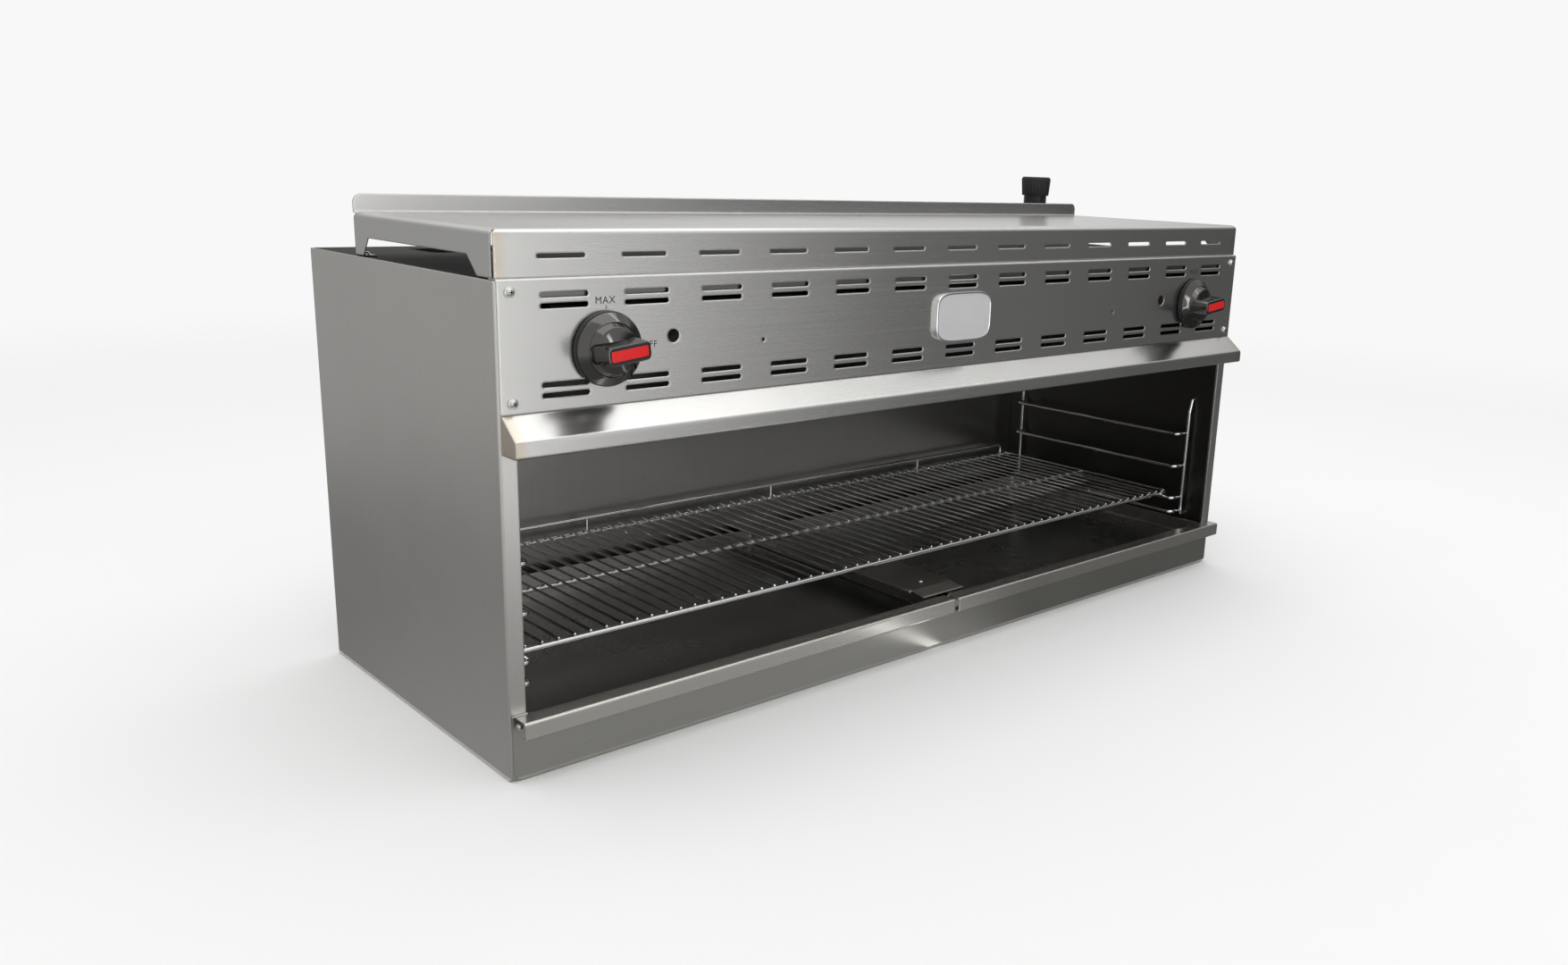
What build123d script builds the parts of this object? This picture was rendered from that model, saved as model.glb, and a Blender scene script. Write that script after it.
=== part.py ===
from build123d import *
from math import cos, pi, radians, sin, tan
import os

# A wide, low gas cheese melter: a stainless cabinet that is open at the front, with two
# infrared burners in its ceiling, a wire rack on chromed guides and two drip trays.
# Millimetres. X runs left to right, Y front to back, Z up.
# The origin is the centre of the underside.

# Cabinet
WIDTH = 1219.2
DEPTH = 438.0
BODY_HEIGHT = 488.5
SHEET = 1.2
LINER = 1.0
BEND = 1.5
FIT = 0.2
RUN = 0.3

# Flats that stand for a curve: pin heads, wires and small round things, pipes, holes, the
# cap, the knobs, and the bends and corners of sheets up to a radius and above it
HEAD_COUNT = 6
FLAT_COUNT = 8
PIPE_COUNT = 12
HOLE_COUNT = 16
CAP_COUNT = 24
KNOB_COUNT = 24
TIGHT_BEND = 3.0
TIGHT_COUNT = 1
WIDE_COUNT = 3

# Side panels and the front posts that their flanges make
POST_WIDTH = 18.0
POST_FOOT = 70.0
SIDE_FOOT_RADIUS = 8.0
SIDE_TOP_RADIUS = 5.0

# Underside and leg holes
PAN_FLANGE = 20.0
LEG_INSET_X = 60.0
LEG_INSET_Y = 45.0
LEG_HOLE_RADIUS = 5.25
LEG_NUT_RADIUS = 11.0
LEG_NUT_HEIGHT = 9.0

# Lower front panel, with the mouth for the drip trays above its sill
SILL_HEIGHT = 44.0
SILL_RETURN = 22.0
MOUTH_INSET = 20.0
LOWER_CORNER = 11.0
RUNNER_WIDTH = 14.0
RUNNER_HEIGHT = 1.5

# Cavity
CAVITY_BACK = 412.0
CHAMBER_TOP = BODY_HEIGHT - 14.5
CEILING_Z = BODY_HEIGHT - 102.5
FLUE_GAP = 56.0
SHIELD_Y = 92.0
SHIELD_LIP = 12.0
BRACKET = 18.0

# Control panel
PANEL_BOTTOM = BODY_HEIGHT - 123.5
PANEL_INSET = 2.0
PANEL_RETURN = 14.0
SLOT_LENGTH = 50.0
SLOT_HEIGHT = 5.0
SLOT_PITCH = 90.0
SLOT_COUNT = 2 * int((WIDTH / 2 - 60.0) / SLOT_PITCH) + 1
SLOT_PAIR = 10.0
UPPER_SLOTS_Z = BODY_HEIGHT - 20.5
LOWER_SLOTS_Z = PANEL_BOTTOM + 20.0
PANEL_SCREW_INSET = 14.5
PANEL_SCREW_EDGE = 10.5
SCREW_RADIUS = 2.4
SCREW_LENGTH = 10.0
SCREW_HEAD = 2.6
SCREW_CROWN = 1.4
WASHER_HEIGHT = 1.3
PANEL_WASHER = 5.4
PANEL_HEAD = 4.0
SMALL_WASHER = 4.2
SMALL_HEAD = 3.2

# Controls
KNOB_X = WIDTH / 2 - 112.6
KNOB_Z = BODY_HEIGHT - 68.5
LIGHTING_X = KNOB_X - 77.4
LIGHTING_Z = KNOB_Z + 7.6
LIGHTING_RADIUS = 6.75
PILOT_X = LIGHTING_X - 114.0
PILOT_Z = KNOB_Z - 3.4
PILOT_HOLE_RADIUS = 2.0
STEM_RADIUS = 4.0
STEM_CLEARANCE = 0.06
STEM_HOLE_RADIUS = 7.0
STEM_DEPTH = 26.0
STEM_END = 20.0

# Knob, measured outwards from the control panel
KNOB_STANDOFF = 0.8
KNOB_BASE_RADIUS = 36.2
KNOB_BASE_TOP = 7.0
KNOB_SKIRT_RADIUS = 35.2
KNOB_HUB_RADIUS = 26.5
KNOB_HUB_TOP = 17.0
KNOB_CROWN = 8.0
KNOB_CROWN_RADIUS = 9.0
KNOB_EDGE = 1.6
GRIP_LENGTH = 47.0
GRIP_WIDTH = 18.5
GRIP_TOP = 43.0
GRIP_DRAFT = 3.2
GRIP_CORNER = 6.0
GRIP_EDGE = 1.2
GRIP_TILT = 6.5
INSERT_LENGTH = 40.5
INSERT_WIDTH = 10.5
INSERT_POCKET = 1.6
INSERT_PROUD = 0.6
INSERT_CORNER = 2.0

# Emblem plate
BADGE_WIDTH = 96.0
BADGE_HEIGHT = 60.0
BADGE_BULGE = 4.5
BADGE_DEPTH = 5.5
BADGE_CORNER = 9.0
BADGE_RIM = 2.6
BADGE_RECESS = 0.9
BADGE_EDGE = 0.8
BADGE_Z = KNOB_Z + 6.0

# Sloping ledge under the control panel
LEDGE_REACH = 27.0
LEDGE_NOSE = PANEL_BOTTOM - 21.0
LEDGE_BOTTOM = PANEL_BOTTOM - 36.5
LEDGE_HEM = 10.0
LEDGE_NOSE_BEND = 5.0
LEDGE_TOP_BEND = 0.3
LEDGE_CREST = 1.4
LEDGE_INSET = 2.5

# Raised top cover with its rear upstand
COVER_TOP = BODY_HEIGHT + 44.0
COVER_FRONT = 3.0
COVER_REAR = 313.0
COVER_INSET = 2.5
COVER_SIDE_START = 9.0
COVER_BEND = 5.5
COVER_CORNER = 7.0
UPSTAND_HEIGHT = 19.0
UPSTAND_CORNER = 10.0
COVER_SLOT_Z = COVER_TOP - 24.5
WINDOW_FOOT_FRONT = 35.0
WINDOW_FOOT_REAR = 294.0
WINDOW_HEAD_FRONT = 55.0
WINDOW_HEAD_REAR = 279.0
WINDOW_HEAD_Z = COVER_TOP - 25.5
WINDOW_CORNER = 3.0
COVER_SLOT_HEIGHT = 4.5
COVER_FOOT = 15.0

# Body top
TOP_FRONT_FLANGE = 20.0
TOP_SIDE_FLANGE = 14.0
FLUE_LENGTH = WIDTH / 2 - 109.6
FLUE_INNER_X = 14.0
FLUE_FRONT = 330.0
FLUE_REAR = 408.0
FLUE_CORNER = 12.0

# Drip trays and their bent handles
TRAY_LINER_GAP = 4.0
TRAY_HEIGHT = 23.0
TRAY_SETBACK = 1.4
TRAY_DEPTH = 392.0
TRAY_CORNER = 6.0
TRAY_FLOOR_BEND = 2.5
HANDLE_SIDE_INSET = 6.0
HANDLE_CENTRE_GAP = 3.6
HANDLE_TOP = 68.7
HANDLE_BOTTOM = 50.0
HANDLE_REACH = 20.5
HANDLE_HEM = 6.0
RIVET_RADIUS = 2.0
RIVET_HEAD_RADIUS = 3.6
RIVET_HEAD = 1.4
RIVET_CROWN = 1.2
RIVET_Z = 59.0
RIVET_COUNT = 4

# Divider between the drip trays
DIVIDER_TOP = 74.0
DIVIDER_WIDTH = 78.0
DIVIDER_EDGE = 3.2
DIVIDER_START = 27.0
DIVIDER_LIP_START = 4.0
DIVIDER_LIP_DROP = 2.6
CHANNEL_WIDTH = 14.0
CHANNEL_START = 34.0
DIVIDER_RIVET_INSET = 47.0

# Rack guides: two upright wires on each side wall with four U-shaped rungs
RUNG_HEIGHTS = (80.0, 102.5, 154.5, 207.0)
RUNG_RADIUS = 2.75
UPRIGHT_RADIUS = 2.5
UPRIGHT_INSET = 26.0
RUNG_INSET = 46.5
RUNG_FRONT = 42.4
RUNG_REAR = 372.6
RUNG_BEND = 7.0
UPRIGHT_FOOT = 76.0
UPRIGHT_SHOULDER = 241.0
HOOK_TOP = 262.0
HOOK_RUN = 5.0
HOOK_DEPTH = 5.0
HOOK_BEND = 2.0

# Wire rack
RACK_HALF = WIDTH / 2 - 41.6
RACK_LEVEL_COUNT = 1
RACK_BAR_RADIUS = 3.25
RACK_WIRE_RADIUS = 1.7
RACK_PITCH = 19.0
WIRE_COUNT = 60
RACK_FRONT = 60.0
RACK_MIDDLE = 226.0
RACK_REAR = 393.0
RACK_TIP = 4.0
FENCE_HEIGHT = 20.0
FENCE_RADIUS = 2.2
FENCE_BEND = 7.0
FENCE_END_COUNTS = (1, 58)
FENCE_POST_COUNTS = ((14, 1), (31, -1), (47, 1))

# Burners
BURNER_INNER_X = 12.0
BURNER_OUTER_X = WIDTH / 2 - 85.6
BURNER_FRONT = 140.0
BURNER_REAR = 350.0
BURNER_TOP = CHAMBER_TOP - 28.0
BURNER_RING = 1.5
BURNER_LAND = 12.0
BURNER_CORNER = 5.0
BURNER_BEND = 4.0
TILE_COUNT_ACROSS = 4
TILE_COUNT_DEEP = 2
TILE_THICKNESS = 12.0
TILE_JOINT = 1.0
TILE_LAP = 5.0
SCREEN_THICKNESS = 1.5
SCREEN_BORDER = 8.0
SCREEN_BAR = 5.0

# Mixer tubes
VENTURI_MOUTH_Y = 60.0
VENTURI_MOUTH_RADIUS = 18.0
VENTURI_THROAT_Y = 80.0
VENTURI_THROAT_RADIUS = 11.0
VENTURI_END_RADIUS = 14.0
VENTURI_WALL = 1.5
VENTURI_INSERTION = 6.0
SHIELD_HOLE_CLEARANCE = 3.0

# Gas train
MANIFOLD_Y = 30.0
MANIFOLD_RISE = 32.0
MANIFOLD_RADIUS = 10.65
MANIFOLD_BORE = 7.9
MANIFOLD_OVERHANG = 45.0
MANIFOLD_PLUG = 8.0
VALVE_FRONT = 9.0
VALVE_REAR = 46.0
VALVE_HALF = 16.0
VALVE_BOSS_RADIUS = 11.0
VALVE_SADDLE = 5.0
VALVE_CHAMFER = 2.5
SPUD_RADIUS = 5.0
SPUD_LENGTH = 18.0
SPUD_HEX = 8.0
SPUD_HEX_LENGTH = 6.0
SPUD_BEVEL = 1.5
SPUD_BORE = 1.2
PILOT_VALVE_RADIUS = 8.0
PILOT_NECK_RADIUS = 6.0
PILOT_HEAD = 3.0
PILOT_HEAD_RADIUS = 3.0
PILOT_SLOT = 0.9
PILOT_TUBE_RADIUS = 2.4
PILOT_TUBE_Y = 116.0
PILOT_TUBE_BEND = 12.0
PILOT_BURNER_RADIUS = 5.0
PILOT_BURNER_TOP = CEILING_Z + 16.0
PILOT_BURNER_HEIGHT = 24.0
PILOT_COLLAR = 3.0
PILOT_COLLAR_RADIUS = 7.5
INLET_X = WIDTH / 2 - 61.6
INLET_Y = 352.0
INLET_RADIUS = 13.35
INLET_BORE = 10.4
ELBOW_REACH = 30.0
ELBOW_SOCKET = 14.0
ELBOW_BEND = 18.0
ELBOW_WALL = 3.2
ELBOW_COLLAR = 5.5
ELBOW_BAND = 2.2
COUPLING_RADIUS = 18.5
COUPLING_BOTTOM = COVER_TOP - 2.5
COUPLING_LENGTH = 45.0
CAP_BOTTOM = COUPLING_BOTTOM + 33.0
CAP_TOP = CAP_BOTTOM + 30.0
CAP_FOOT_RADIUS = 22.0
CAP_HEAD_RADIUS = 24.2
CAP_BEVEL = 3.0

# Planes and levels that several pieces share
HALF = WIDTH / 2
FRONT = -DEPTH / 2
BACK = DEPTH / 2
SIDES = {"left": -1, "right": 1}
TOP_Z = BODY_HEIGHT - SHEET - FIT
INNER_HALF = HALF - POST_WIDTH
PAN_HALF = HALF - SHEET - FIT
PAN_START = FRONT + SHEET + BEND + FIT
PAN_END = BACK - 2 * SHEET - 2 * FIT
DECK_TOP = SILL_HEIGHT - SHEET - FIT
RUNNER_TOP = DECK_TOP + RUNNER_HEIGHT
LINER_BACK = FRONT + CAVITY_BACK
TRAY_BOTTOM = RUNNER_TOP + FIT
TRAY_TOP = TRAY_BOTTOM + TRAY_HEIGHT
CHANNEL_TOP = DIVIDER_TOP - SHEET
TRAY_OUTER = INNER_HALF - TRAY_LINER_GAP
TRAY_INNER = CHANNEL_WIDTH / 2 + TRAY_LINER_GAP
SLOT_ROWS = [
    middle + half
    for middle in (UPPER_SLOTS_Z, LOWER_SLOTS_Z)
    for half in (SLOT_PAIR / 2, -SLOT_PAIR / 2)
]
RACK_BAR_Z = RUNG_HEIGHTS[RACK_LEVEL_COUNT] + RUNG_RADIUS + FIT + RACK_BAR_RADIUS
RACK_WIRE_Z = RACK_BAR_Z + RACK_BAR_RADIUS + RACK_WIRE_RADIUS
MANIFOLD_Z = KNOB_Z + MANIFOLD_RISE
CEILING_END = LINER_BACK - FLUE_GAP
BURNER_BOTTOM = CEILING_Z + LINER + BURNER_RING


def along_x(section, start, end):
    # A section drawn in Y and Z, carried from one X to another.
    return extrude(Plane.YZ.offset(start) * section, end - start)


def along_y(section, start, end):
    # A section drawn in X and Z, carried from one Y to another.
    return extrude(Plane.XZ.offset(-end) * section, end - start)


def along_z(section, start, end):
    # A section drawn in X and Y, carried from one Z to another.
    return extrude(Plane.XY.offset(start) * section, end - start)


def block(x, y, z):
    # A box between a low and a high value on each axis.
    size = Box(x[1] - x[0], y[1] - y[0], z[1] - z[0])
    return Pos((x[0] + x[1]) / 2, (y[0] + y[1]) / 2, (z[0] + z[1]) / 2) * size


def rectangle(u, v):
    # A flat rectangle between a low and a high value on each drawing axis.
    return Pos((u[0] + u[1]) / 2, (v[0] + v[1]) / 2) * Rectangle(u[1] - u[0], v[1] - v[0])


def eased_corner(before, corner, after, radius):
    # The points of one corner, cut off by flats that touch its radius.
    corner = Vector(*corner)
    if not radius:
        return [corner]
    before, after = (Vector(*before) - corner).normalized(), (Vector(*after) - corner).normalized()
    half = radians(before.get_angle(after)) / 2
    centre = corner + (before + after).normalized() * (radius / sin(half))
    first, last = [corner + way * (radius / tan(half)) - centre for way in (before, after)]
    flats = TIGHT_COUNT if radius <= TIGHT_BEND else WIDE_COUNT
    turn = pi - 2 * half
    step = turn / (flats + 1)
    points = []
    for index in range(flats + 1):
        angle = step * (index + 0.5)
        arm = first * sin(turn - angle) + last * sin(angle)
        points.append(centre + arm * (1 / (sin(turn) * cos(step / 2))))
    return points


def rounded(points, radii):
    # A closed outline with one corner radius for each point.
    outline = []
    for before, corner, after, radius in zip(points[-1:] + points, points, points[1:] + points[:1], radii):
        outline += eased_corner(before, corner, after, radius)
    return Polygon(*outline, align=None)


def soft_rectangle(u, v, radius):
    # A rectangle between two values on each drawing axis, with its corners eased.
    return rounded([(u[0], v[0]), (u[1], v[0]), (u[1], v[1]), (u[0], v[1])], [radius] * 4)


def centred(size):
    return (-size / 2, size / 2)


def moved_left(points, distance):
    # The same open path, shifted to the left of its direction with mitred corners.
    steps = [(Vector(*b) - Vector(*a)).normalized() for a, b in zip(points, points[1:])]
    normals = [Vector(-step.Y, step.X) for step in steps]
    before = normals[:1] + normals
    after = normals + normals[-1:]
    shifted = []
    for point, first, second in zip(points, before, after):
        mitre = (first + second).normalized()
        moved = Vector(*point) + mitre * (distance / mitre.dot(second))
        shifted.append((moved.X, moved.Y))
    return shifted


def bent_sheet(points, gauge, bends=None):
    # The section of a press-braked sheet. The points run along one face, the gauge lies to
    # the left of travel, and each corner has its own inside bend radius.
    inner = moved_left(points, gauge)
    bends = bends or [BEND] * (len(points) - 2)
    here, there = [], []
    for index, bend in enumerate(bends):
        into = Vector(*points[index + 1]) - Vector(*points[index])
        out = Vector(*points[index + 2]) - Vector(*points[index + 1])
        turns_left = into.X * out.Y - into.Y * out.X > 0
        here.append(bend + gauge if turns_left else bend)
        there.append(bend if turns_left else bend + gauge)
    radii = [0] + here + [0, 0] + there[::-1] + [0]
    return rounded(points + inner[::-1], radii)


def faceted(radius, flats=FLAT_COUNT):
    # A round section drawn with flats that touch its circle, one of them square to X.
    return RegularPolygon(radius, flats, major_radius=False, rotation=180 / flats)


def rod(start, end, radius, flats=0):
    # A straight bar between two points, round or with flats.
    start, end = Vector(*start), Vector(*end)
    section = faceted(radius, flats) if flats else Circle(radius)
    return extrude(Plane(origin=start, z_dir=end - start) * section, (end - start).length)


def cone(start, end, first, last, flats=FLAT_COUNT):
    # A straight bar with flats whose radius changes steadily: an outline at each end and
    # the flats between them.
    rings = []
    for place, radius in ((start, first), (end, last)):
        frame = Plane(origin=place, z_dir=Vector(*end) - Vector(*start))
        reach = radius / cos(pi / flats)
        turns = [pi * (2 * index + 1) / flats for index in range(flats)]
        rings.append([frame.from_local_coords((reach * cos(turn), reach * sin(turn))) for turn in turns])
    near, far = rings
    outlines = rings + [[near[i - 1], near[i], far[i], far[i - 1]] for i in range(flats)]
    return Solid(Shell([Face(Wire.make_polygon(outline)) for outline in outlines]))


def wire(points, radius, bend, flats=FLAT_COUNT):
    # A bent wire: straight runs, each corner cut off by a short run of its own.
    route = [Vector(*points[0])]
    for before, corner, after in zip(points, points[1:], points[2:]):
        corner = Vector(*corner)
        route.append(corner + (Vector(*before) - corner).normalized() * bend)
        route.append(corner + (Vector(*after) - corner).normalized() * bend)
    route.append(Vector(*points[-1]))
    path = Polyline(*route)
    section = Plane(origin=path @ 0, z_dir=path % 0) * faceted(radius, flats)
    return sweep(section, path=path, transition=Transition.RIGHT)


def slots(rows, length, height):
    # The cooling slots of a front: a row of slots with eased ends at each height.
    middle = (SLOT_COUNT - 1) / 2
    places = [((i - middle) * SLOT_PITCH, z) for i in range(SLOT_COUNT) for z in rows]
    slot = chamfer(Rectangle(length, height).vertices(), height * (1 - 0.5 ** 0.5))
    return Sketch() + [Pos(*place) * slot for place in places]


def mirrored(part, side):
    # Pieces are drawn on the left and mirrored for the right.
    return part if side < 0 else mirror(part, about=Plane.YZ)


def side_panel(side):
    # One sheet: rear flange, outer side, and the front flange that is the post.
    turn = [(-INNER_HALF, BACK), (-HALF, BACK), (-HALF, FRONT), (-INNER_HALF, FRONT)]
    sheet = along_z(bent_sheet(turn, SHEET), 0, TOP_Z)
    outline = rounded(
        [(FRONT, 0), (BACK, 0), (BACK, TOP_Z), (FRONT, TOP_Z)],
        [SIDE_FOOT_RADIUS, 0, SIDE_TOP_RADIUS, BEND + FIT],
    )
    sheet &= along_x(outline, -HALF, -INNER_HALF)
    bend_end = -HALF + SHEET + BEND
    foot = block((bend_end, -INNER_HALF), (FRONT, FRONT + SHEET), (0, POST_FOOT))
    sheet -= foot
    for z in panel_screw_heights():
        x = -HALF + PANEL_SCREW_INSET
        sheet -= rod((x, FRONT, z), (x, FRONT + SHEET, z), SCREW_RADIUS, FLAT_COUNT)
    return mirrored(sheet, side)


def panel_screw_heights():
    return (PANEL_BOTTOM + PANEL_SCREW_EDGE, BODY_HEIGHT - PANEL_SCREW_EDGE - SHEET)


def rear_panel():
    # The back sheet lies inside the side panels' rear flanges, with a flange under the top.
    face = BACK - SHEET - FIT
    top = TOP_Z - SHEET - FIT
    turn = [(face, SHEET + FIT), (face, top), (face - PAN_FLANGE, top)]
    half = PAN_HALF - SHEET - BEND - FIT
    return along_x(bent_sheet(turn, SHEET), -half, half)


def bottom_panel():
    # A shallow pan with a flange up each side and a hole for each screw-in leg.
    turn = [(-PAN_HALF, PAN_FLANGE), (-PAN_HALF, 0), (PAN_HALF, 0), (PAN_HALF, PAN_FLANGE)]
    pan = along_y(bent_sheet(turn, SHEET), PAN_START, PAN_END)
    for x, y in leg_places():
        pan -= rod((x, y, 0), (x, y, SHEET), LEG_HOLE_RADIUS)
    return pan


def leg_places():
    x, y = HALF - LEG_INSET_X, -FRONT - LEG_INSET_Y
    return [(sx * x, sy * y) for sx in (-1, 1) for sy in (-1, 1)]


def leg_nuts():
    # Hexagonal weld nuts over the leg holes.
    ring = RegularPolygon(LEG_NUT_RADIUS, 6) - faceted(LEG_HOLE_RADIUS, PIPE_COUNT)
    nuts = [along_z(Pos(*place) * ring, SHEET, SHEET + LEG_NUT_HEIGHT) for place in leg_places()]
    return Compound(children=nuts)


def lower_front_panel():
    # The panel under the trays. Its ends rise beside the tray mouth to meet the posts.
    half = HALF - SHEET - BEND - FIT
    sill = [(FRONT + SILL_RETURN, SILL_HEIGHT), (FRONT, SILL_HEIGHT), (FRONT, 0)]
    mouth = HALF - MOUTH_INSET
    panel = along_x(bent_sheet(sill, SHEET), -mouth, mouth)
    top = POST_FOOT - FIT
    corner = LOWER_CORNER
    outline = rounded(
        [(-half, 0), (half, 0), (half, top), (mouth, top), (mouth, SILL_HEIGHT - SHEET - BEND),
         (-mouth, SILL_HEIGHT - SHEET - BEND), (-mouth, top), (-half, top)],
        [corner, corner, 0, 0, 0, 0, 0, 0],
    )
    face = along_y(outline, FRONT, FRONT + SHEET)
    for x, z in lower_screw_places():
        face -= rod((x, FRONT, z), (x, FRONT + SHEET, z), SCREW_RADIUS, FLAT_COUNT)
    return panel + face


def lower_screw_places():
    x = HALF - MOUTH_INSET / 2 - SHEET
    z = (SILL_HEIGHT + POST_FOOT) / 2
    return [(-x, z), (x, z)]


def tray_deck():
    # The shelf under the trays, tucked below the sill, with a flange down each side.
    turn = [(PAN_HALF, DECK_TOP - TOP_SIDE_FLANGE), (PAN_HALF, DECK_TOP),
            (-PAN_HALF, DECK_TOP), (-PAN_HALF, DECK_TOP - TOP_SIDE_FLANGE)]
    return along_y(bent_sheet(turn, SHEET), PAN_START, LINER_BACK + LINER)


def tray_runners():
    # Low strips on the deck that each drip tray slides on.
    start, end = FRONT + SILL_RETURN + FIT, LINER_BACK - FIT
    strips = []
    for side in SIDES.values():
        for x in (TRAY_OUTER - RUNNER_WIDTH, TRAY_INNER + RUNNER_WIDTH):
            middle = side * x
            span = (middle - RUNNER_WIDTH / 2, middle + RUNNER_WIDTH / 2)
            strips.append(block(span, (start, end), (DECK_TOP, RUNNER_TOP)))
    return Compound(children=strips)


def cavity_side(side):
    # The cavity's side wall, with a flange turned out behind the post and guide holes.
    flange = FRONT + SHEET + FIT
    turn = [(-HALF + SHEET + BEND + FIT, flange), (-INNER_HALF, flange),
            (-INNER_HALF, LINER_BACK + LINER)]
    wall = along_z(bent_sheet(turn, LINER), DECK_TOP + FIT, CHAMBER_TOP)
    for y in upright_places():
        for z in (UPRIGHT_FOOT, HOOK_TOP):
            wall -= rod((-INNER_HALF - LINER, y, z), (-INNER_HALF, y, z), UPRIGHT_RADIUS + FIT, FLAT_COUNT)
    for z in panel_screw_heights():
        x, bend_end = -HALF + PANEL_SCREW_INSET, flange + LINER + BEND
        wall -= rod((x, flange, z), (x, bend_end, z), SCREW_RADIUS + FIT, FLAT_COUNT)
    for x, z in lower_screw_places()[:1]:
        wall -= rod((x, flange, z), (x, flange + LINER, z), SCREW_RADIUS + FIT, FLAT_COUNT)
    return mirrored(wall, side)


def cavity_rear():
    # The cavity's back wall, between the two side walls.
    half = INNER_HALF - FIT
    return block((-half, half), (LINER_BACK, LINER_BACK + LINER), (DECK_TOP + FIT, CHAMBER_TOP))


def burner_window(side, land, corner=0):
    # The opening under one burner, inside its outline by a land.
    x = sorted((side * (BURNER_INNER_X + land), side * (BURNER_OUTER_X - land)))
    return soft_rectangle(x, (FRONT + BURNER_FRONT + land, FRONT + BURNER_REAR - land), corner)


def cavity_ceiling():
    # The plate that carries both burners, stopping short of the back wall as the flue.
    half = INNER_HALF - FIT
    plate = rectangle((-half, half), (FRONT + SHIELD_Y + FIT, CEILING_END))
    for side in SIDES.values():
        plate -= burner_window(side, BURNER_LAND, BURNER_CORNER)
        pilot = Pos(side * LIGHTING_X, FRONT + PILOT_TUBE_Y)
        plate -= pilot * faceted(PILOT_BURNER_RADIUS + FIT)
    return along_z(plate, CEILING_Z, CEILING_Z + LINER)


def ceiling_bracket(side):
    # An angle on the cavity wall under the ceiling plate.
    top = CEILING_Z
    turn = [(-INNER_HALF, top - BRACKET), (-INNER_HALF, top), (-INNER_HALF + BRACKET, top)]
    angle = bent_sheet(turn[::-1], SHEET)
    return mirrored(along_y(angle, FRONT + SHIELD_Y + FIT, CEILING_END), side)


def heat_shield():
    # Between the controls and the burners: floor of the control space, wall and top lip.
    floor = PANEL_BOTTOM + SHEET
    turn = [(FRONT + 2 * SHEET + LINER + FIT, floor), (FRONT + SHIELD_Y, floor),
            (FRONT + SHIELD_Y, CHAMBER_TOP), (FRONT + SHIELD_Y - SHIELD_LIP, CHAMBER_TOP)]
    half = INNER_HALF - LINER - FIT
    shield = along_x(bent_sheet(turn, SHEET), -half, half)
    wall = (FRONT + SHIELD_Y - SHEET, FRONT + SHIELD_Y)
    tube = VENTURI_END_RADIUS + VENTURI_WALL + SHIELD_HOLE_CLEARANCE
    holes = []
    for side in SIDES.values():
        holes.append((side * KNOB_X, KNOB_Z, tube))
        holes.append((side * LIGHTING_X, LIGHTING_Z, LIGHTING_RADIUS))
        holes.append((side * PILOT_X, PILOT_Z, PILOT_TUBE_RADIUS + FIT))
    holes.append((INLET_X, MANIFOLD_Z, INLET_RADIUS + FIT))
    for x, z, radius in holes:
        shield -= rod((x, wall[0], z), (x, wall[1], z), radius, PIPE_COUNT)
    return shield


def top_panel():
    # The body's top: flanges down at the front and sides, two flue openings at the rear
    # and a hole for the gas inlet.
    front_half = INNER_HALF - BEND
    front = [(PAN_END, TOP_Z), (PAN_START, TOP_Z), (PAN_START, TOP_Z - TOP_FRONT_FLANGE)]
    sides = [(PAN_HALF, TOP_Z - TOP_SIDE_FLANGE), (PAN_HALF, TOP_Z),
             (-PAN_HALF, TOP_Z), (-PAN_HALF, TOP_Z - TOP_SIDE_FLANGE)]
    top = along_x(bent_sheet(front, SHEET), -front_half, front_half)
    top += along_y(bent_sheet(sides, SHEET), FRONT + TOP_FRONT_FLANGE, PAN_END)
    for side in SIDES.values():
        x = sorted((side * FLUE_INNER_X, side * (FLUE_INNER_X + FLUE_LENGTH)))
        flue = soft_rectangle(x, (FRONT + FLUE_FRONT, FRONT + FLUE_REAR), FLUE_CORNER)
        top -= along_z(flue, TOP_Z - SHEET, TOP_Z)
    inlet = (INLET_X, FRONT + INLET_Y)
    top -= rod((*inlet, TOP_Z - SHEET), (*inlet, TOP_Z), INLET_RADIUS + FIT, PIPE_COUNT)
    for x, y in cover_screw_places():
        top -= rod((x, y, TOP_Z - SHEET), (x, y, TOP_Z), SCREW_RADIUS, FLAT_COUNT)
    return top


def control_panel():
    # The slotted front with the knob, lighting and pilot screw holes and a top return.
    face = FRONT - SHEET
    turn = [(FRONT + PANEL_RETURN, BODY_HEIGHT), (face, BODY_HEIGHT), (face, PANEL_BOTTOM)]
    half = HALF - PANEL_INSET
    panel = along_x(bent_sheet(turn, SHEET), -half, half)
    cuts = slots(SLOT_ROWS, SLOT_LENGTH, SLOT_HEIGHT)
    for side in SIDES.values():
        cuts += Pos(side * KNOB_X, KNOB_Z) * faceted(STEM_HOLE_RADIUS, PIPE_COUNT)
        cuts += Pos(side * LIGHTING_X, LIGHTING_Z) * faceted(LIGHTING_RADIUS, HOLE_COUNT)
        cuts += Pos(side * PILOT_X, PILOT_Z) * faceted(PILOT_HOLE_RADIUS)
        for z in panel_screw_heights():
            cuts += Pos(side * (HALF - PANEL_SCREW_INSET), z) * faceted(SCREW_RADIUS, FLAT_COUNT)
    return panel - along_y(cuts, face, FRONT)


def tapered_head(radius, seat, height, narrowing):
    # A head that stands on a seat and narrows away from it, towards -Z.
    return cone((0, 0, seat), (0, 0, seat - height), radius, radius - narrowing, HEAD_COUNT)


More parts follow.
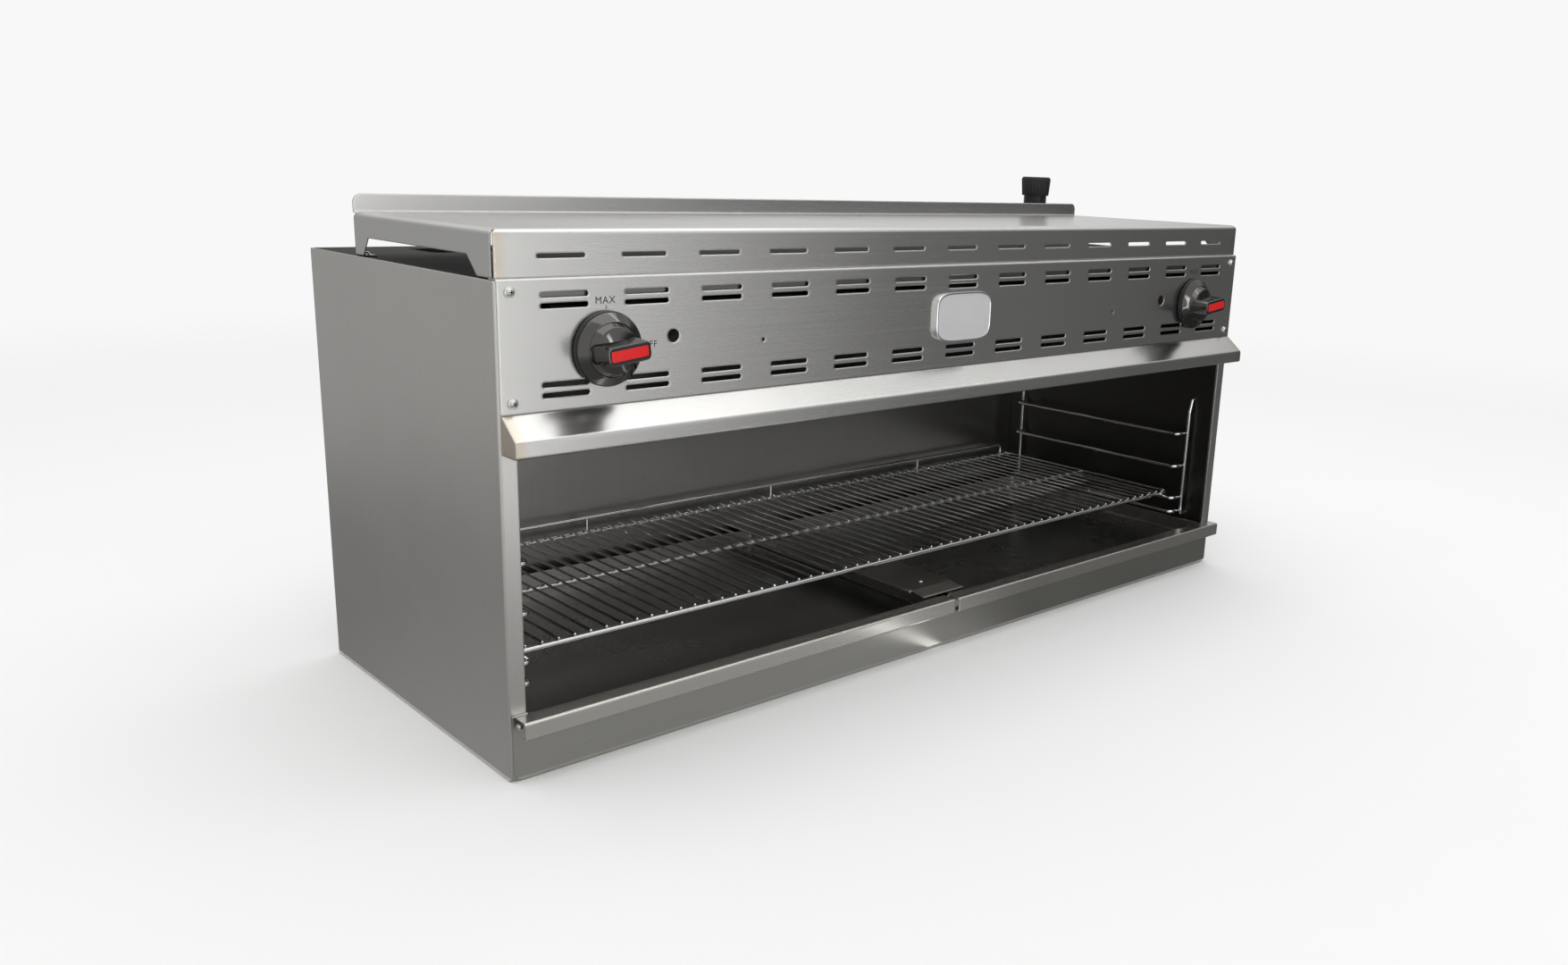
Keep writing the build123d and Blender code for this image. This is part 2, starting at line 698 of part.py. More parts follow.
def washer_screw(washer, head):
    # A pan head screw on its washer. It points along +Z, with its seat at the origin.
    screw = tapered_head(head, -WASHER_HEIGHT, SCREW_HEAD, SCREW_CROWN)
    screw += along_z(faceted(washer), -WASHER_HEIGHT, 0)
    return screw + along_z(faceted(SCREW_RADIUS - FIT), 0, SCREW_LENGTH)


def facing(x, y, z):
    # A frame at a front surface whose Z axis points out towards the user.
    return Location(Plane(origin=(x, y, z), x_dir=(1, 0, 0), z_dir=(0, -1, 0)))


def inward(x, y, z):
    # A frame at a front surface whose Z axis points into the cabinet.
    return Location(Plane(origin=(x, y, z), x_dir=(1, 0, 0), z_dir=(0, 1, 0)))


def control_panel_screws():
    screw = washer_screw(PANEL_WASHER, PANEL_HEAD)
    x, face = HALF - PANEL_SCREW_INSET, FRONT - SHEET
    places = [(side * x, z) for side in SIDES.values() for z in panel_screw_heights()]
    return Compound(children=[inward(x, face, z) * screw for x, z in places])


def lower_panel_screws():
    screw = washer_screw(SMALL_WASHER, SMALL_HEAD)
    return Compound(children=[inward(x, FRONT, z) * screw for x, z in lower_screw_places()])


def front_ledge():
    # The sloping ledge under the controls, open behind its nose, with welded end caps.
    top = PANEL_BOTTOM - FIT + LEDGE_CREST
    nose = FRONT - LEDGE_REACH
    bends = [LEDGE_TOP_BEND, LEDGE_NOSE_BEND, BEND]
    turn = [(FRONT, LEDGE_BOTTOM), (FRONT, top), (nose, LEDGE_NOSE),
            (nose, LEDGE_BOTTOM), (nose + LEDGE_HEM, LEDGE_BOTTOM)]
    half = HALF - LEDGE_INSET
    ledge = along_x(bent_sheet(turn, SHEET, bends), -half, half)
    end = rounded(
        [(FRONT, LEDGE_BOTTOM), (FRONT, top), (nose, LEDGE_NOSE), (nose, LEDGE_BOTTOM)],
        [0, LEDGE_TOP_BEND + SHEET, LEDGE_NOSE_BEND + SHEET, BEND + SHEET],
    )
    return ledge + along_x(end, -half, SHEET - half) + along_x(end, half - SHEET, half)


def emblem_outline(shrink):
    # A rectangle whose four sides bulge outwards, with rounded corners.
    u, v = BADGE_WIDTH / 2 - shrink, BADGE_HEIGHT / 2 - shrink
    in_u, in_v, corner = u - BADGE_BULGE, v - BADGE_BULGE, BADGE_CORNER - shrink
    points = [(-in_u, -in_v), (0, -v), (in_u, -in_v), (u, 0), (in_u, in_v), (0, v), (-in_u, in_v), (-u, 0)]
    return rounded(points, [corner, 0] * 4)


def emblem_plate():
    # A bare cushion-shaped plate with a raised rim round a sunken field.
    plate = along_z(emblem_outline(0), 0, BADGE_DEPTH)
    plate = chamfer(plate.faces().sort_by(Axis.Z)[-1].edges(), BADGE_EDGE)
    plate -= along_z(emblem_outline(BADGE_RIM), BADGE_DEPTH - BADGE_RECESS, BADGE_DEPTH)
    return facing(0, FRONT - SHEET, BADGE_Z) * plate


def cover_screw_places():
    x = HALF - COVER_INSET - COVER_FOOT / 2
    front = FRONT + (COVER_SIDE_START + WINDOW_FOOT_FRONT) / 2
    rear = FRONT + (WINDOW_FOOT_REAR + COVER_REAR) / 2
    return [(side * x, y) for side in SIDES.values() for y in (front, rear)]


def cover_hood():
    # The cover's top, its two sides and the feet turned in under them, with a
    # sloping-ended window in each side.
    half, foot = HALF - COVER_INSET, TOP_Z + FIT
    start, end = FRONT + COVER_SIDE_START, FRONT + COVER_REAR
    turn = [(half - COVER_FOOT, foot), (half, foot), (half, COVER_TOP),
            (-half, COVER_TOP), (-half, foot), (COVER_FOOT - half, foot)]
    shoulder = COVER_CORNER - SHEET
    hood = along_y(bent_sheet(turn, SHEET, [BEND, shoulder, shoulder, BEND]), start, end)
    lap = FRONT + PANEL_RETURN + FIT
    outline = rounded(
        [(start, BODY_HEIGHT + FIT), (lap, BODY_HEIGHT + FIT), (lap, foot), (end, foot),
         (end, COVER_TOP), (start, COVER_TOP)],
        [0, 0, 0, 0, 0, COVER_BEND],
    )
    window = rounded(
        [(FRONT + WINDOW_FOOT_FRONT, foot), (FRONT + WINDOW_FOOT_REAR, foot),
         (FRONT + WINDOW_HEAD_REAR, WINDOW_HEAD_Z), (FRONT + WINDOW_HEAD_FRONT, WINDOW_HEAD_Z)],
        [0, 0, WINDOW_CORNER, WINDOW_CORNER],
    )
    return hood & along_x(outline - window, -half, half)


def top_cover():
    # The raised cover: slotted apron, top, rear upstand and two windowed sides.
    half, bottom = HALF - COVER_INSET, BODY_HEIGHT + FIT
    apron, rear = FRONT + COVER_FRONT, FRONT + COVER_REAR
    crown = COVER_TOP + UPSTAND_HEIGHT
    turn = [(rear, crown), (rear, COVER_TOP), (apron, COVER_TOP), (apron, bottom)]
    sheet = along_x(bent_sheet(turn, SHEET, [BEND, COVER_BEND]), -half, half)
    apron_view = rounded(
        [(-half, bottom), (half, bottom), (half, COVER_TOP), (-half, COVER_TOP)],
        [0, 0, COVER_CORNER, COVER_CORNER],
    )
    upstand_view = rounded(
        [(-half, COVER_TOP - SHEET), (half, COVER_TOP - SHEET), (half, crown), (-half, crown)],
        [0, 0, UPSTAND_CORNER, UPSTAND_CORNER],
    )
    corner = rear - BEND
    front = sheet & along_y(apron_view, apron, corner)
    back = sheet & along_y(upstand_view, corner, rear + SHEET)
    cover = front + back + cover_hood()
    cover -= along_y(slots([COVER_SLOT_Z], SLOT_LENGTH, COVER_SLOT_HEIGHT), apron, apron + SHEET)
    for x, y in cover_screw_places():
        cover -= rod((x, y, TOP_Z), (x, y, TOP_Z + FIT + SHEET), SCREW_RADIUS, FLAT_COUNT)
    return cover


def top_cover_screws():
    screw = washer_screw(SMALL_WASHER, SMALL_HEAD)
    seat = TOP_Z + FIT + SHEET
    down = [Plane(origin=(x, y, seat), z_dir=(0, 0, -1)) for x, y in cover_screw_places()]
    return Compound(children=[Location(frame) * screw for frame in down])


def sheet_pan(x, y, z, corner, bend):
    # A thin pan, open at the top, with round corners and an eased edge to its floor. The
    # edge is cut less on the inside, so that the wall keeps its gauge there.
    def filled(inset):
        span = (x[0] + inset, x[1] - inset), (y[0] + inset, y[1] - inset)
        body = along_z(soft_rectangle(*span, corner - inset), z[0] + inset, z[1])
        return chamfer(body.faces().sort_by(Axis.Z)[0].edges(), bend - inset * (2 - 2 ** 0.5))
    return filled(0) - filled(LINER)


def tray_rivet_places():
    # The same spacing from the tray's ends as half of that between the rivets.
    step = (TRAY_OUTER - TRAY_INNER) / RIVET_COUNT
    return [-TRAY_INNER - step * (i + 0.5) for i in range(RIVET_COUNT)]


def drip_tray(side):
    start = FRONT + TRAY_SETBACK
    tray = sheet_pan((-TRAY_OUTER, -TRAY_INNER), (start, start + TRAY_DEPTH),
                     (TRAY_BOTTOM, TRAY_TOP), TRAY_CORNER, TRAY_FLOOR_BEND)
    for x in tray_rivet_places():
        tray -= rod((x, start, RIVET_Z), (x, start + LINER, RIVET_Z), RIVET_RADIUS + FIT, FLAT_COUNT)
    return mirrored(tray, side)


def tray_handle(side):
    # One bent sheet: plate on the tray, top, front and a small hem. Its outer end stands
    # clear of the post.
    plate, front = FRONT + TRAY_SETBACK, FRONT - HANDLE_REACH
    turn = [(plate, HANDLE_BOTTOM), (plate, HANDLE_TOP), (front, HANDLE_TOP),
            (front, HANDLE_BOTTOM), (front + HANDLE_HEM, HANDLE_BOTTOM)]
    outer = -HALF + HANDLE_SIDE_INSET
    handle = along_x(bent_sheet(turn, SHEET), outer, -HANDLE_CENTRE_GAP)
    handle -= block((outer, -TRAY_OUTER), (FRONT - RUN, plate), (HANDLE_BOTTOM, HANDLE_TOP))
    for x in tray_rivet_places():
        handle -= rod((x, plate - SHEET, RIVET_Z), (x, plate, RIVET_Z), RIVET_RADIUS + FIT, FLAT_COUNT)
    return mirrored(handle, side)


def rivet(grip):
    # A rivet along +Z with a raised head at each end of its grip.
    near = tapered_head(RIVET_HEAD_RADIUS, 0, RIVET_HEAD, RIVET_CROWN)
    far = mirror(near, about=Plane.XY.offset(grip / 2))
    return near + far + along_z(faceted(RIVET_RADIUS), 0, grip)


def tray_rivets(side):
    pin = rivet(SHEET + LINER)
    start = FRONT + TRAY_SETBACK - SHEET
    pins = [inward(-side * x, start, RIVET_Z) * pin for x in tray_rivet_places()]
    return Compound(children=pins)


def divider_cap():
    # The folded strip over the gap between the drip trays, with a front lip that slopes down.
    half, start = DIVIDER_WIDTH / 2, FRONT + DIVIDER_START
    turn = [(half, DIVIDER_TOP - DIVIDER_EDGE), (half, DIVIDER_TOP),
            (-half, DIVIDER_TOP), (-half, DIVIDER_TOP - DIVIDER_EDGE)]
    cap = along_y(bent_sheet(turn, SHEET), start, LINER_BACK - FIT)
    lip = [(start + DIVIDER_EDGE, DIVIDER_TOP), (start, DIVIDER_TOP),
           (FRONT + DIVIDER_LIP_START, DIVIDER_TOP - DIVIDER_LIP_DROP)]
    flat = half - BEND - SHEET
    cap += along_x(bent_sheet(lip, SHEET), -flat, flat)
    for y in divider_rivet_places():
        cap -= rod((0, y, CHANNEL_TOP), (0, y, DIVIDER_TOP), RIVET_RADIUS + FIT, FLAT_COUNT)
    return cap


def divider_rivet_places():
    first, last = FRONT + DIVIDER_RIVET_INSET, LINER_BACK - DIVIDER_RIVET_INSET
    return (first, (first + last) / 2, last)


def divider_channel():
    # The upright channel that carries the cap on the deck.
    half = CHANNEL_WIDTH / 2
    turn = [(half, DECK_TOP), (half, CHANNEL_TOP), (-half, CHANNEL_TOP), (-half, DECK_TOP)]
    channel = along_y(bent_sheet(turn, SHEET), FRONT + CHANNEL_START, LINER_BACK - FIT)
    for y in divider_rivet_places():
        channel -= rod((0, y, CHANNEL_TOP - SHEET), (0, y, CHANNEL_TOP), RIVET_RADIUS + FIT, FLAT_COUNT)
    return channel


def divider_rivets():
    pin = rivet(2 * SHEET)
    return Compound(children=[Pos(0, y, CHANNEL_TOP - SHEET) * pin for y in divider_rivet_places()])


def upright_places():
    # The guides' uprights stand against the outsides of the rungs' legs.
    reach = RUNG_RADIUS + UPRIGHT_RADIUS
    return (FRONT + RUNG_FRONT - reach, FRONT + RUNG_REAR + reach)


def rack_guide(side):
    # Two uprights hooked into the cavity wall, with four U-shaped rungs welded to them.
    hooked, x = -INNER_HALF - HOOK_DEPTH, -HALF + UPRIGHT_INSET
    front, rear = FRONT + RUNG_FRONT, FRONT + RUNG_REAR
    wires = []
    for y in upright_places():
        turn = [(hooked, y, UPRIGHT_FOOT), (x, y, UPRIGHT_FOOT), (x, y, UPRIGHT_SHOULDER),
                (x - HOOK_RUN, y, HOOK_TOP), (hooked, y, HOOK_TOP)]
        wires.append(wire(turn, UPRIGHT_RADIUS, HOOK_BEND))
    for z in RUNG_HEIGHTS:
        end, out = x - UPRIGHT_RADIUS, -HALF + RUNG_INSET
        turn = [(end, front, z), (out, front, z), (out, rear, z), (end, rear, z)]
        wires.append(wire(turn, RUNG_RADIUS, RUNG_BEND))
    return Compound(children=[mirrored(piece, side) for piece in wires])


def rack_wire_x(index):
    return (index - (WIRE_COUNT - 1) / 2) * RACK_PITCH


def rack_wires():
    # The rack's deck: six-sided wires whose lower flats lie on the cross bars.
    start, end = FRONT + RACK_FRONT - RACK_TIP, FRONT + RACK_REAR + RACK_TIP
    section = RegularPolygon(RACK_WIRE_RADIUS, 6, major_radius=False)
    one = along_y(Pos(0, RACK_WIRE_Z) * section, start, end)
    return [Pos(rack_wire_x(i), 0, 0) * one for i in range(WIRE_COUNT)]


def rack_bar(y):
    return rod((-RACK_HALF, FRONT + y, RACK_BAR_Z), (RACK_HALF, FRONT + y, RACK_BAR_Z),
               RACK_BAR_RADIUS, FLAT_COUNT)


def rack_fence():
    # The rear bar with its low fence. Each upright passes down close beside a wire.
    aside = RACK_WIRE_RADIUS + FENCE_RADIUS + 2 * FIT
    left, right = rack_wire_x(FENCE_END_COUNTS[0]) - aside, rack_wire_x(FENCE_END_COUNTS[1]) + aside
    y, top = FRONT + RACK_REAR, RACK_BAR_Z + FENCE_HEIGHT
    turn = [(left, y, RACK_BAR_Z), (left, y, top), (right, y, top), (right, y, RACK_BAR_Z)]
    fence = rack_bar(RACK_REAR) + wire(turn, FENCE_RADIUS, FENCE_BEND)
    for index, way in FENCE_POST_COUNTS:
        x = rack_wire_x(index) + way * aside
        fence += rod((x, y, RACK_BAR_Z), (x, y, top), FENCE_RADIUS, FLAT_COUNT)
    return fence


def wire_rack():
    # Sixty wires on three cross bars, with a low fence along the rear.
    bars = [rack_bar(RACK_FRONT), rack_bar(RACK_MIDDLE), rack_fence()]
    return Compound(children=bars + rack_wires())


def burner(side):
    # A pressed burner box over a flat ring that carries the tiles.
    x = (-BURNER_OUTER_X, -BURNER_INNER_X)
    y = (FRONT + BURNER_FRONT, FRONT + BURNER_REAR)
    box = sheet_pan(x, y, (BURNER_BOTTOM, BURNER_TOP), BURNER_CORNER, BURNER_BEND)
    box = mirror(box, about=Plane.XY.offset((BURNER_BOTTOM + BURNER_TOP) / 2))
    ring = soft_rectangle(x, y, BURNER_CORNER) - burner_window(-1, BURNER_LAND, BURNER_CORNER)
    box += along_z(ring, BURNER_BOTTOM - BURNER_RING, BURNER_BOTTOM)
    tube = VENTURI_END_RADIUS + VENTURI_WALL + FIT
    box -= rod((-KNOB_X, y[0], KNOB_Z), (-KNOB_X, y[0] + LINER, KNOB_Z), tube, PIPE_COUNT)
    return mirrored(box, side)


def burner_tiles(side):
    # The ceramic tiles, laid on the ring in a grid with open joints.
    inset = BURNER_LAND - TILE_LAP
    across = (BURNER_OUTER_X - BURNER_INNER_X - 2 * inset) / TILE_COUNT_ACROSS
    deep = (BURNER_REAR - BURNER_FRONT - 2 * inset) / TILE_COUNT_DEEP
    tile = Box(across - TILE_JOINT, deep - TILE_JOINT, TILE_THICKNESS)
    first = (-BURNER_OUTER_X + inset + across / 2, FRONT + BURNER_FRONT + inset + deep / 2)
    places = [
        (-side * (first[0] + i * across), first[1] + j * deep, BURNER_BOTTOM + TILE_THICKNESS / 2)
        for i in range(TILE_COUNT_ACROSS)
        for j in range(TILE_COUNT_DEEP)
    ]
    return [Pos(*place) * tile for place in places]


def burner_screen(side):
    # The guard under each burner: a plate with an opening below each tile.
    inner = BURNER_LAND + SCREEN_BAR
    x = (BURNER_INNER_X + inner, BURNER_OUTER_X - inner)
    y = (FRONT + BURNER_FRONT + inner, FRONT + BURNER_REAR - inner)
    across = (x[1] - x[0] + SCREEN_BAR) / TILE_COUNT_ACROSS
    deep = (y[1] - y[0] + SCREEN_BAR) / TILE_COUNT_DEEP
    plate = burner_window(side, BURNER_LAND - SCREEN_BORDER)
    opening = Rectangle(across - SCREEN_BAR, deep - SCREEN_BAR)
    plate -= [
        Pos(side * (x[0] + (i + 0.5) * across - SCREEN_BAR / 2),
            y[0] + (j + 0.5) * deep - SCREEN_BAR / 2) * opening
        for i in range(TILE_COUNT_ACROSS)
        for j in range(TILE_COUNT_DEEP)
    ]
    return along_z(plate, CEILING_Z - SCREEN_THICKNESS, CEILING_Z)


def mixer_tube(side):
    # A flared mouth, a throat and a slow taper into the burner box.
    mouth, throat = FRONT + VENTURI_MOUTH_Y, FRONT + VENTURI_THROAT_Y
    end = FRONT + BURNER_FRONT + VENTURI_INSERTION

    def horn(wall):
        radii = [radius + wall for radius in (VENTURI_MOUTH_RADIUS, VENTURI_THROAT_RADIUS, VENTURI_END_RADIUS)]
        places = [(side * KNOB_X, y, KNOB_Z) for y in (mouth, throat, end)]
        flare = cone(places[0], places[1], radii[0], radii[1], PIPE_COUNT)
        return flare + cone(places[1], places[2], radii[1], radii[2], PIPE_COUNT)

    return horn(VENTURI_WALL) - horn(0)


def manifold_run(start, radius):
    # The manifold's length from a start along X into the elbow's socket.
    end = INLET_X - ELBOW_REACH + ELBOW_SOCKET
    y = FRONT + MANIFOLD_Y
    return rod((start, y, MANIFOLD_Z), (end, y, MANIFOLD_Z), radius, PIPE_COUNT)


def gas_manifold():
    # The gas pipe across the front, closed at its left end.
    start = -KNOB_X - MANIFOLD_OVERHANG
    return manifold_run(start, MANIFOLD_RADIUS) - manifold_run(start + MANIFOLD_PLUG, MANIFOLD_BORE)


def manifold_boss(x, z, radius):
    # The upright neck of a valve, saddled under the manifold.
    y = FRONT + MANIFOLD_Y
    neck = rod((x, y, z), (x, y, MANIFOLD_Z - VALVE_SADDLE), radius, FLAT_COUNT)
    return neck - manifold_run(-HALF, MANIFOLD_RADIUS + FIT)


def gas_valve(side):
    # A valve body with a bore for its stem.
    x, z, half = side * KNOB_X, KNOB_Z, VALVE_HALF
    front = FRONT + VALVE_FRONT
    body = block((x - half, x + half), (front, FRONT + VALVE_REAR), (z - half, z + half))
    body = chamfer(body.edges().filter_by(Axis.Y), VALVE_CHAMFER)
    body += manifold_boss(x, z, VALVE_BOSS_RADIUS)
    bore = STEM_RADIUS + STEM_CLEARANCE
    return body - rod((x, front, z), (x, front + STEM_DEPTH, z), bore, PIPE_COUNT)


def valve_stem(side):
    x, z = side * KNOB_X, KNOB_Z
    start = FRONT + VALVE_FRONT + STEM_DEPTH - RUN
    corner = cos(pi / PIPE_COUNT)
    return rod((x, start, z), (x, FRONT - SHEET - STEM_END, z), STEM_RADIUS * corner, PIPE_COUNT)


def orifice_spud(side):
    # A brass hex and a nozzle that blows into the mixer tube.
    spud = along_z(RegularPolygon(SPUD_HEX, 6), 0, SPUD_HEX_LENGTH)
    nozzle = along_z(faceted(SPUD_RADIUS), SPUD_HEX_LENGTH, SPUD_LENGTH)
    spud += chamfer(nozzle.faces().sort_by(Axis.Z)[-1].edges(), SPUD_BEVEL)
    spud -= along_z(faceted(SPUD_BORE), 0, SPUD_LENGTH)
    return inward(side * KNOB_X, FRONT + VALVE_REAR, KNOB_Z) * spud


def pilot_valve(side):
    # A small round valve with a slotted adjusting screw behind the panel's screw hole.
    x, z = side * PILOT_X, PILOT_Z
    front, head = FRONT + VALVE_FRONT, FRONT + VALVE_FRONT - PILOT_HEAD
    valve = rod((x, front, z), (x, FRONT + VALVE_REAR, z), PILOT_VALVE_RADIUS, PIPE_COUNT)
    valve += manifold_boss(x, z, PILOT_NECK_RADIUS)
    valve += rod((x, head, z), (x, front, z), PILOT_HEAD_RADIUS, PIPE_COUNT)
    slot = (x - PILOT_SLOT / 2, x + PILOT_SLOT / 2)
    radius = PILOT_HEAD_RADIUS
    return valve - block(slot, (head, head + PILOT_SLOT), (z - radius, z + radius))


def pilot_tube(side):
    # From the pilot valve through the heat shield, then across and down to its burner.
    x, z, y = side * PILOT_X, PILOT_Z, FRONT + PILOT_TUBE_Y
    lighting = side * LIGHTING_X
    turn = [(x, FRONT + VALVE_REAR, z), (x, y, z), (lighting, y, z), (lighting, y, PILOT_BURNER_TOP)]
    return wire(turn, PILOT_TUBE_RADIUS, PILOT_TUBE_BEND)


def pilot_burner(side):
    # A short burner that stands in a hole of the ceiling plate.
    x, y = side * LIGHTING_X, FRONT + PILOT_TUBE_Y
    bottom, collar = PILOT_BURNER_TOP - PILOT_BURNER_HEIGHT, CEILING_Z + LINER
    body = rod((x, y, bottom), (x, y, PILOT_BURNER_TOP), PILOT_BURNER_RADIUS, FLAT_COUNT)
    return body + rod((x, y, collar), (x, y, collar + PILOT_COLLAR), PILOT_COLLAR_RADIUS, FLAT_COUNT)


def pipe_elbow(corner, arms):
    # A threaded elbow with a band round each mouth. Each arm has the direction it points
    # in and the radius of the pipe screwed into it.
    corner = Vector(*corner)
    mouths = [corner + Vector(*way) * ELBOW_REACH for way, _ in arms]
    outer = INLET_RADIUS + ELBOW_WALL
    route = [mouths[0], corner, mouths[1]]
    body = wire(route, outer, ELBOW_BEND, PIPE_COUNT)
    for mouth, (way, pipe) in zip(mouths, arms):
        body += rod(mouth - Vector(*way) * ELBOW_COLLAR, mouth, outer + ELBOW_BAND, PIPE_COUNT)
    body -= wire(route, MANIFOLD_BORE, ELBOW_BEND, PIPE_COUNT)
    for mouth, (way, pipe) in zip(mouths, arms):
        body -= rod(mouth - Vector(*way) * ELBOW_SOCKET, mouth, pipe + FIT, PIPE_COUNT)
    return body


def manifold_elbow():
    arms = [((-1, 0, 0), MANIFOLD_RADIUS), ((0, 1, 0), INLET_RADIUS)]
    return pipe_elbow((INLET_X, FRONT + MANIFOLD_Y, MANIFOLD_Z), arms)


def inlet_elbow():
    arms = [((0, -1, 0), INLET_RADIUS), ((0, 0, 1), INLET_RADIUS)]
    return pipe_elbow((INLET_X, FRONT + INLET_Y, MANIFOLD_Z), arms)


def pipe(start, end, radius, bore):
    return rod(start, end, radius, PIPE_COUNT) - rod(start, end, bore, PIPE_COUNT)


def gas_feed_pipe():
    # From the manifold's elbow back to the inlet's, past the burner.
    grip = ELBOW_REACH - ELBOW_SOCKET
    start = (INLET_X, FRONT + MANIFOLD_Y + grip, MANIFOLD_Z)
    end = (INLET_X, FRONT + INLET_Y - grip, MANIFOLD_Z)
    return pipe(start, end, INLET_RADIUS, INLET_BORE)


def gas_inlet_pipe():
    # The riser through the body's top, up into the coupling.
    place = (INLET_X, FRONT + INLET_Y)
    start = (*place, MANIFOLD_Z + ELBOW_REACH - ELBOW_SOCKET)
    end = (*place, COUPLING_BOTTOM + COUPLING_LENGTH / 2)
    return pipe(start, end, INLET_RADIUS, INLET_BORE)


def inlet_coupling():
    place = (INLET_X, FRONT + INLET_Y)
    top = COUPLING_BOTTOM + COUPLING_LENGTH
    sleeve = rod((*place, COUPLING_BOTTOM), (*place, top), COUPLING_RADIUS, CAP_COUNT)
    return sleeve - rod((*place, COUPLING_BOTTOM), (*place, top), INLET_RADIUS + FIT, PIPE_COUNT)


def inlet_cap():
    # A shipping cap pushed over the coupling, wider at its head than at its foot.
    place = (INLET_X, FRONT + INLET_Y)
    seat, brow = COUPLING_BOTTOM + COUPLING_LENGTH + FIT, CAP_TOP - CAP_BEVEL
    cap = cone((*place, CAP_BOTTOM), (*place, brow), CAP_FOOT_RADIUS, CAP_HEAD_RADIUS, CAP_COUNT)
    cap += cone((*place, brow), (*place, CAP_TOP), CAP_HEAD_RADIUS, CAP_HEAD_RADIUS - CAP_BEVEL, CAP_COUNT)
    return cap - rod((*place, CAP_BOTTOM), (*place, seat), COUPLING_RADIUS + FIT, CAP_COUNT)


def knob_seat(side):
    # The knob's frame: origin on the control panel, Z out to the user, turned to its rest.
    return facing(side * KNOB_X, FRONT - SHEET, KNOB_Z) * Rot(0, 0, GRIP_TILT)


def knob_base(side):
    # The dark ring behind the knob.
    ring = along_z(faceted(KNOB_BASE_RADIUS, KNOB_COUNT), KNOB_STANDOFF, KNOB_BASE_TOP)
    ring = chamfer(ring.faces().sort_by(Axis.Z)[-1].edges(), KNOB_BASE_RADIUS - KNOB_SKIRT_RADIUS)
    return knob_seat(side) * (ring - along_z(faceted(STEM_RADIUS + FIT), KNOB_STANDOFF, KNOB_BASE_TOP))


def knob(side):
    # A conical skirt, a low crown and a tapered grip bar with a pocket for its insert.
    rim, hub, crown = KNOB_BASE_TOP + KNOB_EDGE, KNOB_HUB_TOP, KNOB_HUB_TOP + KNOB_CROWN
    body = along_z(faceted(KNOB_SKIRT_RADIUS, KNOB_COUNT), KNOB_BASE_TOP, rim)
    body += cone((0, 0, rim), (0, 0, hub), KNOB_SKIRT_RADIUS, KNOB_HUB_RADIUS, KNOB_COUNT)
    body += cone((0, 0, hub), (0, 0, crown), KNOB_HUB_RADIUS, KNOB_CROWN_RADIUS, KNOB_COUNT)
    height = GRIP_TOP - KNOB_BASE_TOP
    spread = 2 * height * tan(radians(GRIP_DRAFT))
    foot = soft_rectangle(centred(GRIP_LENGTH + spread), centred(GRIP_WIDTH + spread), GRIP_CORNER)
    grip = extrude(Plane.XY.offset(KNOB_BASE_TOP) * foot, height, taper=GRIP_DRAFT)
    body += chamfer(grip.faces().sort_by(Axis.Z)[-1].edges(), GRIP_EDGE)
    pocket = soft_rectangle(
        centred(INSERT_LENGTH + 2 * FIT), centred(INSERT_WIDTH + 2 * FIT), INSERT_CORNER + FIT)
    body -= along_z(pocket, GRIP_TOP - INSERT_POCKET, GRIP_TOP)
    body -= along_z(faceted(STEM_RADIUS + FIT), KNOB_BASE_TOP, STEM_END + FIT)
    return knob_seat(side) * body


def knob_insert(side):
    # The coloured strip in the grip's pocket, a little proud of it.
    strip = soft_rectangle(centred(INSERT_LENGTH), centred(INSERT_WIDTH), INSERT_CORNER)
    insert = along_z(strip, GRIP_TOP - INSERT_POCKET, GRIP_TOP + INSERT_PROUD)
    return knob_seat(side) * chamfer(insert.faces().sort_by(Axis.Z)[-1].edges(), INSERT_PROUD)


PAIRS = {
    "side_panel": side_panel,
    "cavity_side": cavity_side,
    "drip_tray": drip_tray,
    "tray_handle": tray_handle,
    "tray_rivets": tray_rivets,
    "rack_guide": rack_guide,
    "burner": burner,
    "valve_stem": valve_stem,
    "knob_base": knob_base,
    "knob": knob,
    "knob_insert": knob_insert,
}
SETS = {
    "ceiling_brackets": ceiling_bracket,
    "burner_screens": burner_screen,
    "mixer_tubes": mixer_tube,
    "gas_valves": gas_valve,
    "orifice_spuds": orifice_spud,
    "pilot_valves": pilot_valve,
    "pilot_tubes": pilot_tube,
    "pilot_burners": pilot_burner,
}
SINGLES = [
    rear_panel, bottom_panel, leg_nuts, lower_front_panel, tray_deck, tray_runners,
    cavity_rear, cavity_ceiling, heat_shield, top_panel, control_panel, control_panel_screws,
    lower_panel_screws, front_ledge, emblem_plate, top_cover, top_cover_screws, divider_cap,
    divider_channel, divider_rivets, wire_rack, gas_manifold, manifold_elbow, gas_feed_pipe,
    inlet_elbow, gas_inlet_pipe, inlet_coupling, inlet_cap,
]

parts = {make.__name__: make() for make in SINGLES}
for name, make in SETS.items():
    parts[name] = Compound(children=[make(side) for side in SIDES.values()])
for name, make in PAIRS.items():
    for label, side in SIDES.items():
        parts[label + "_" + name] = make(side)
parts["burner_tiles"] = Compound(
    children=[tile for side in SIDES.values() for tile in burner_tiles(side)]
)

os.makedirs("parts", exist_ok=True)
for name, part in parts.items():
    export_step(part, "parts/" + name + ".step")
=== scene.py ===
from math import pi, radians
import bpy
import numpy as np
from mathutils import Matrix, Vector


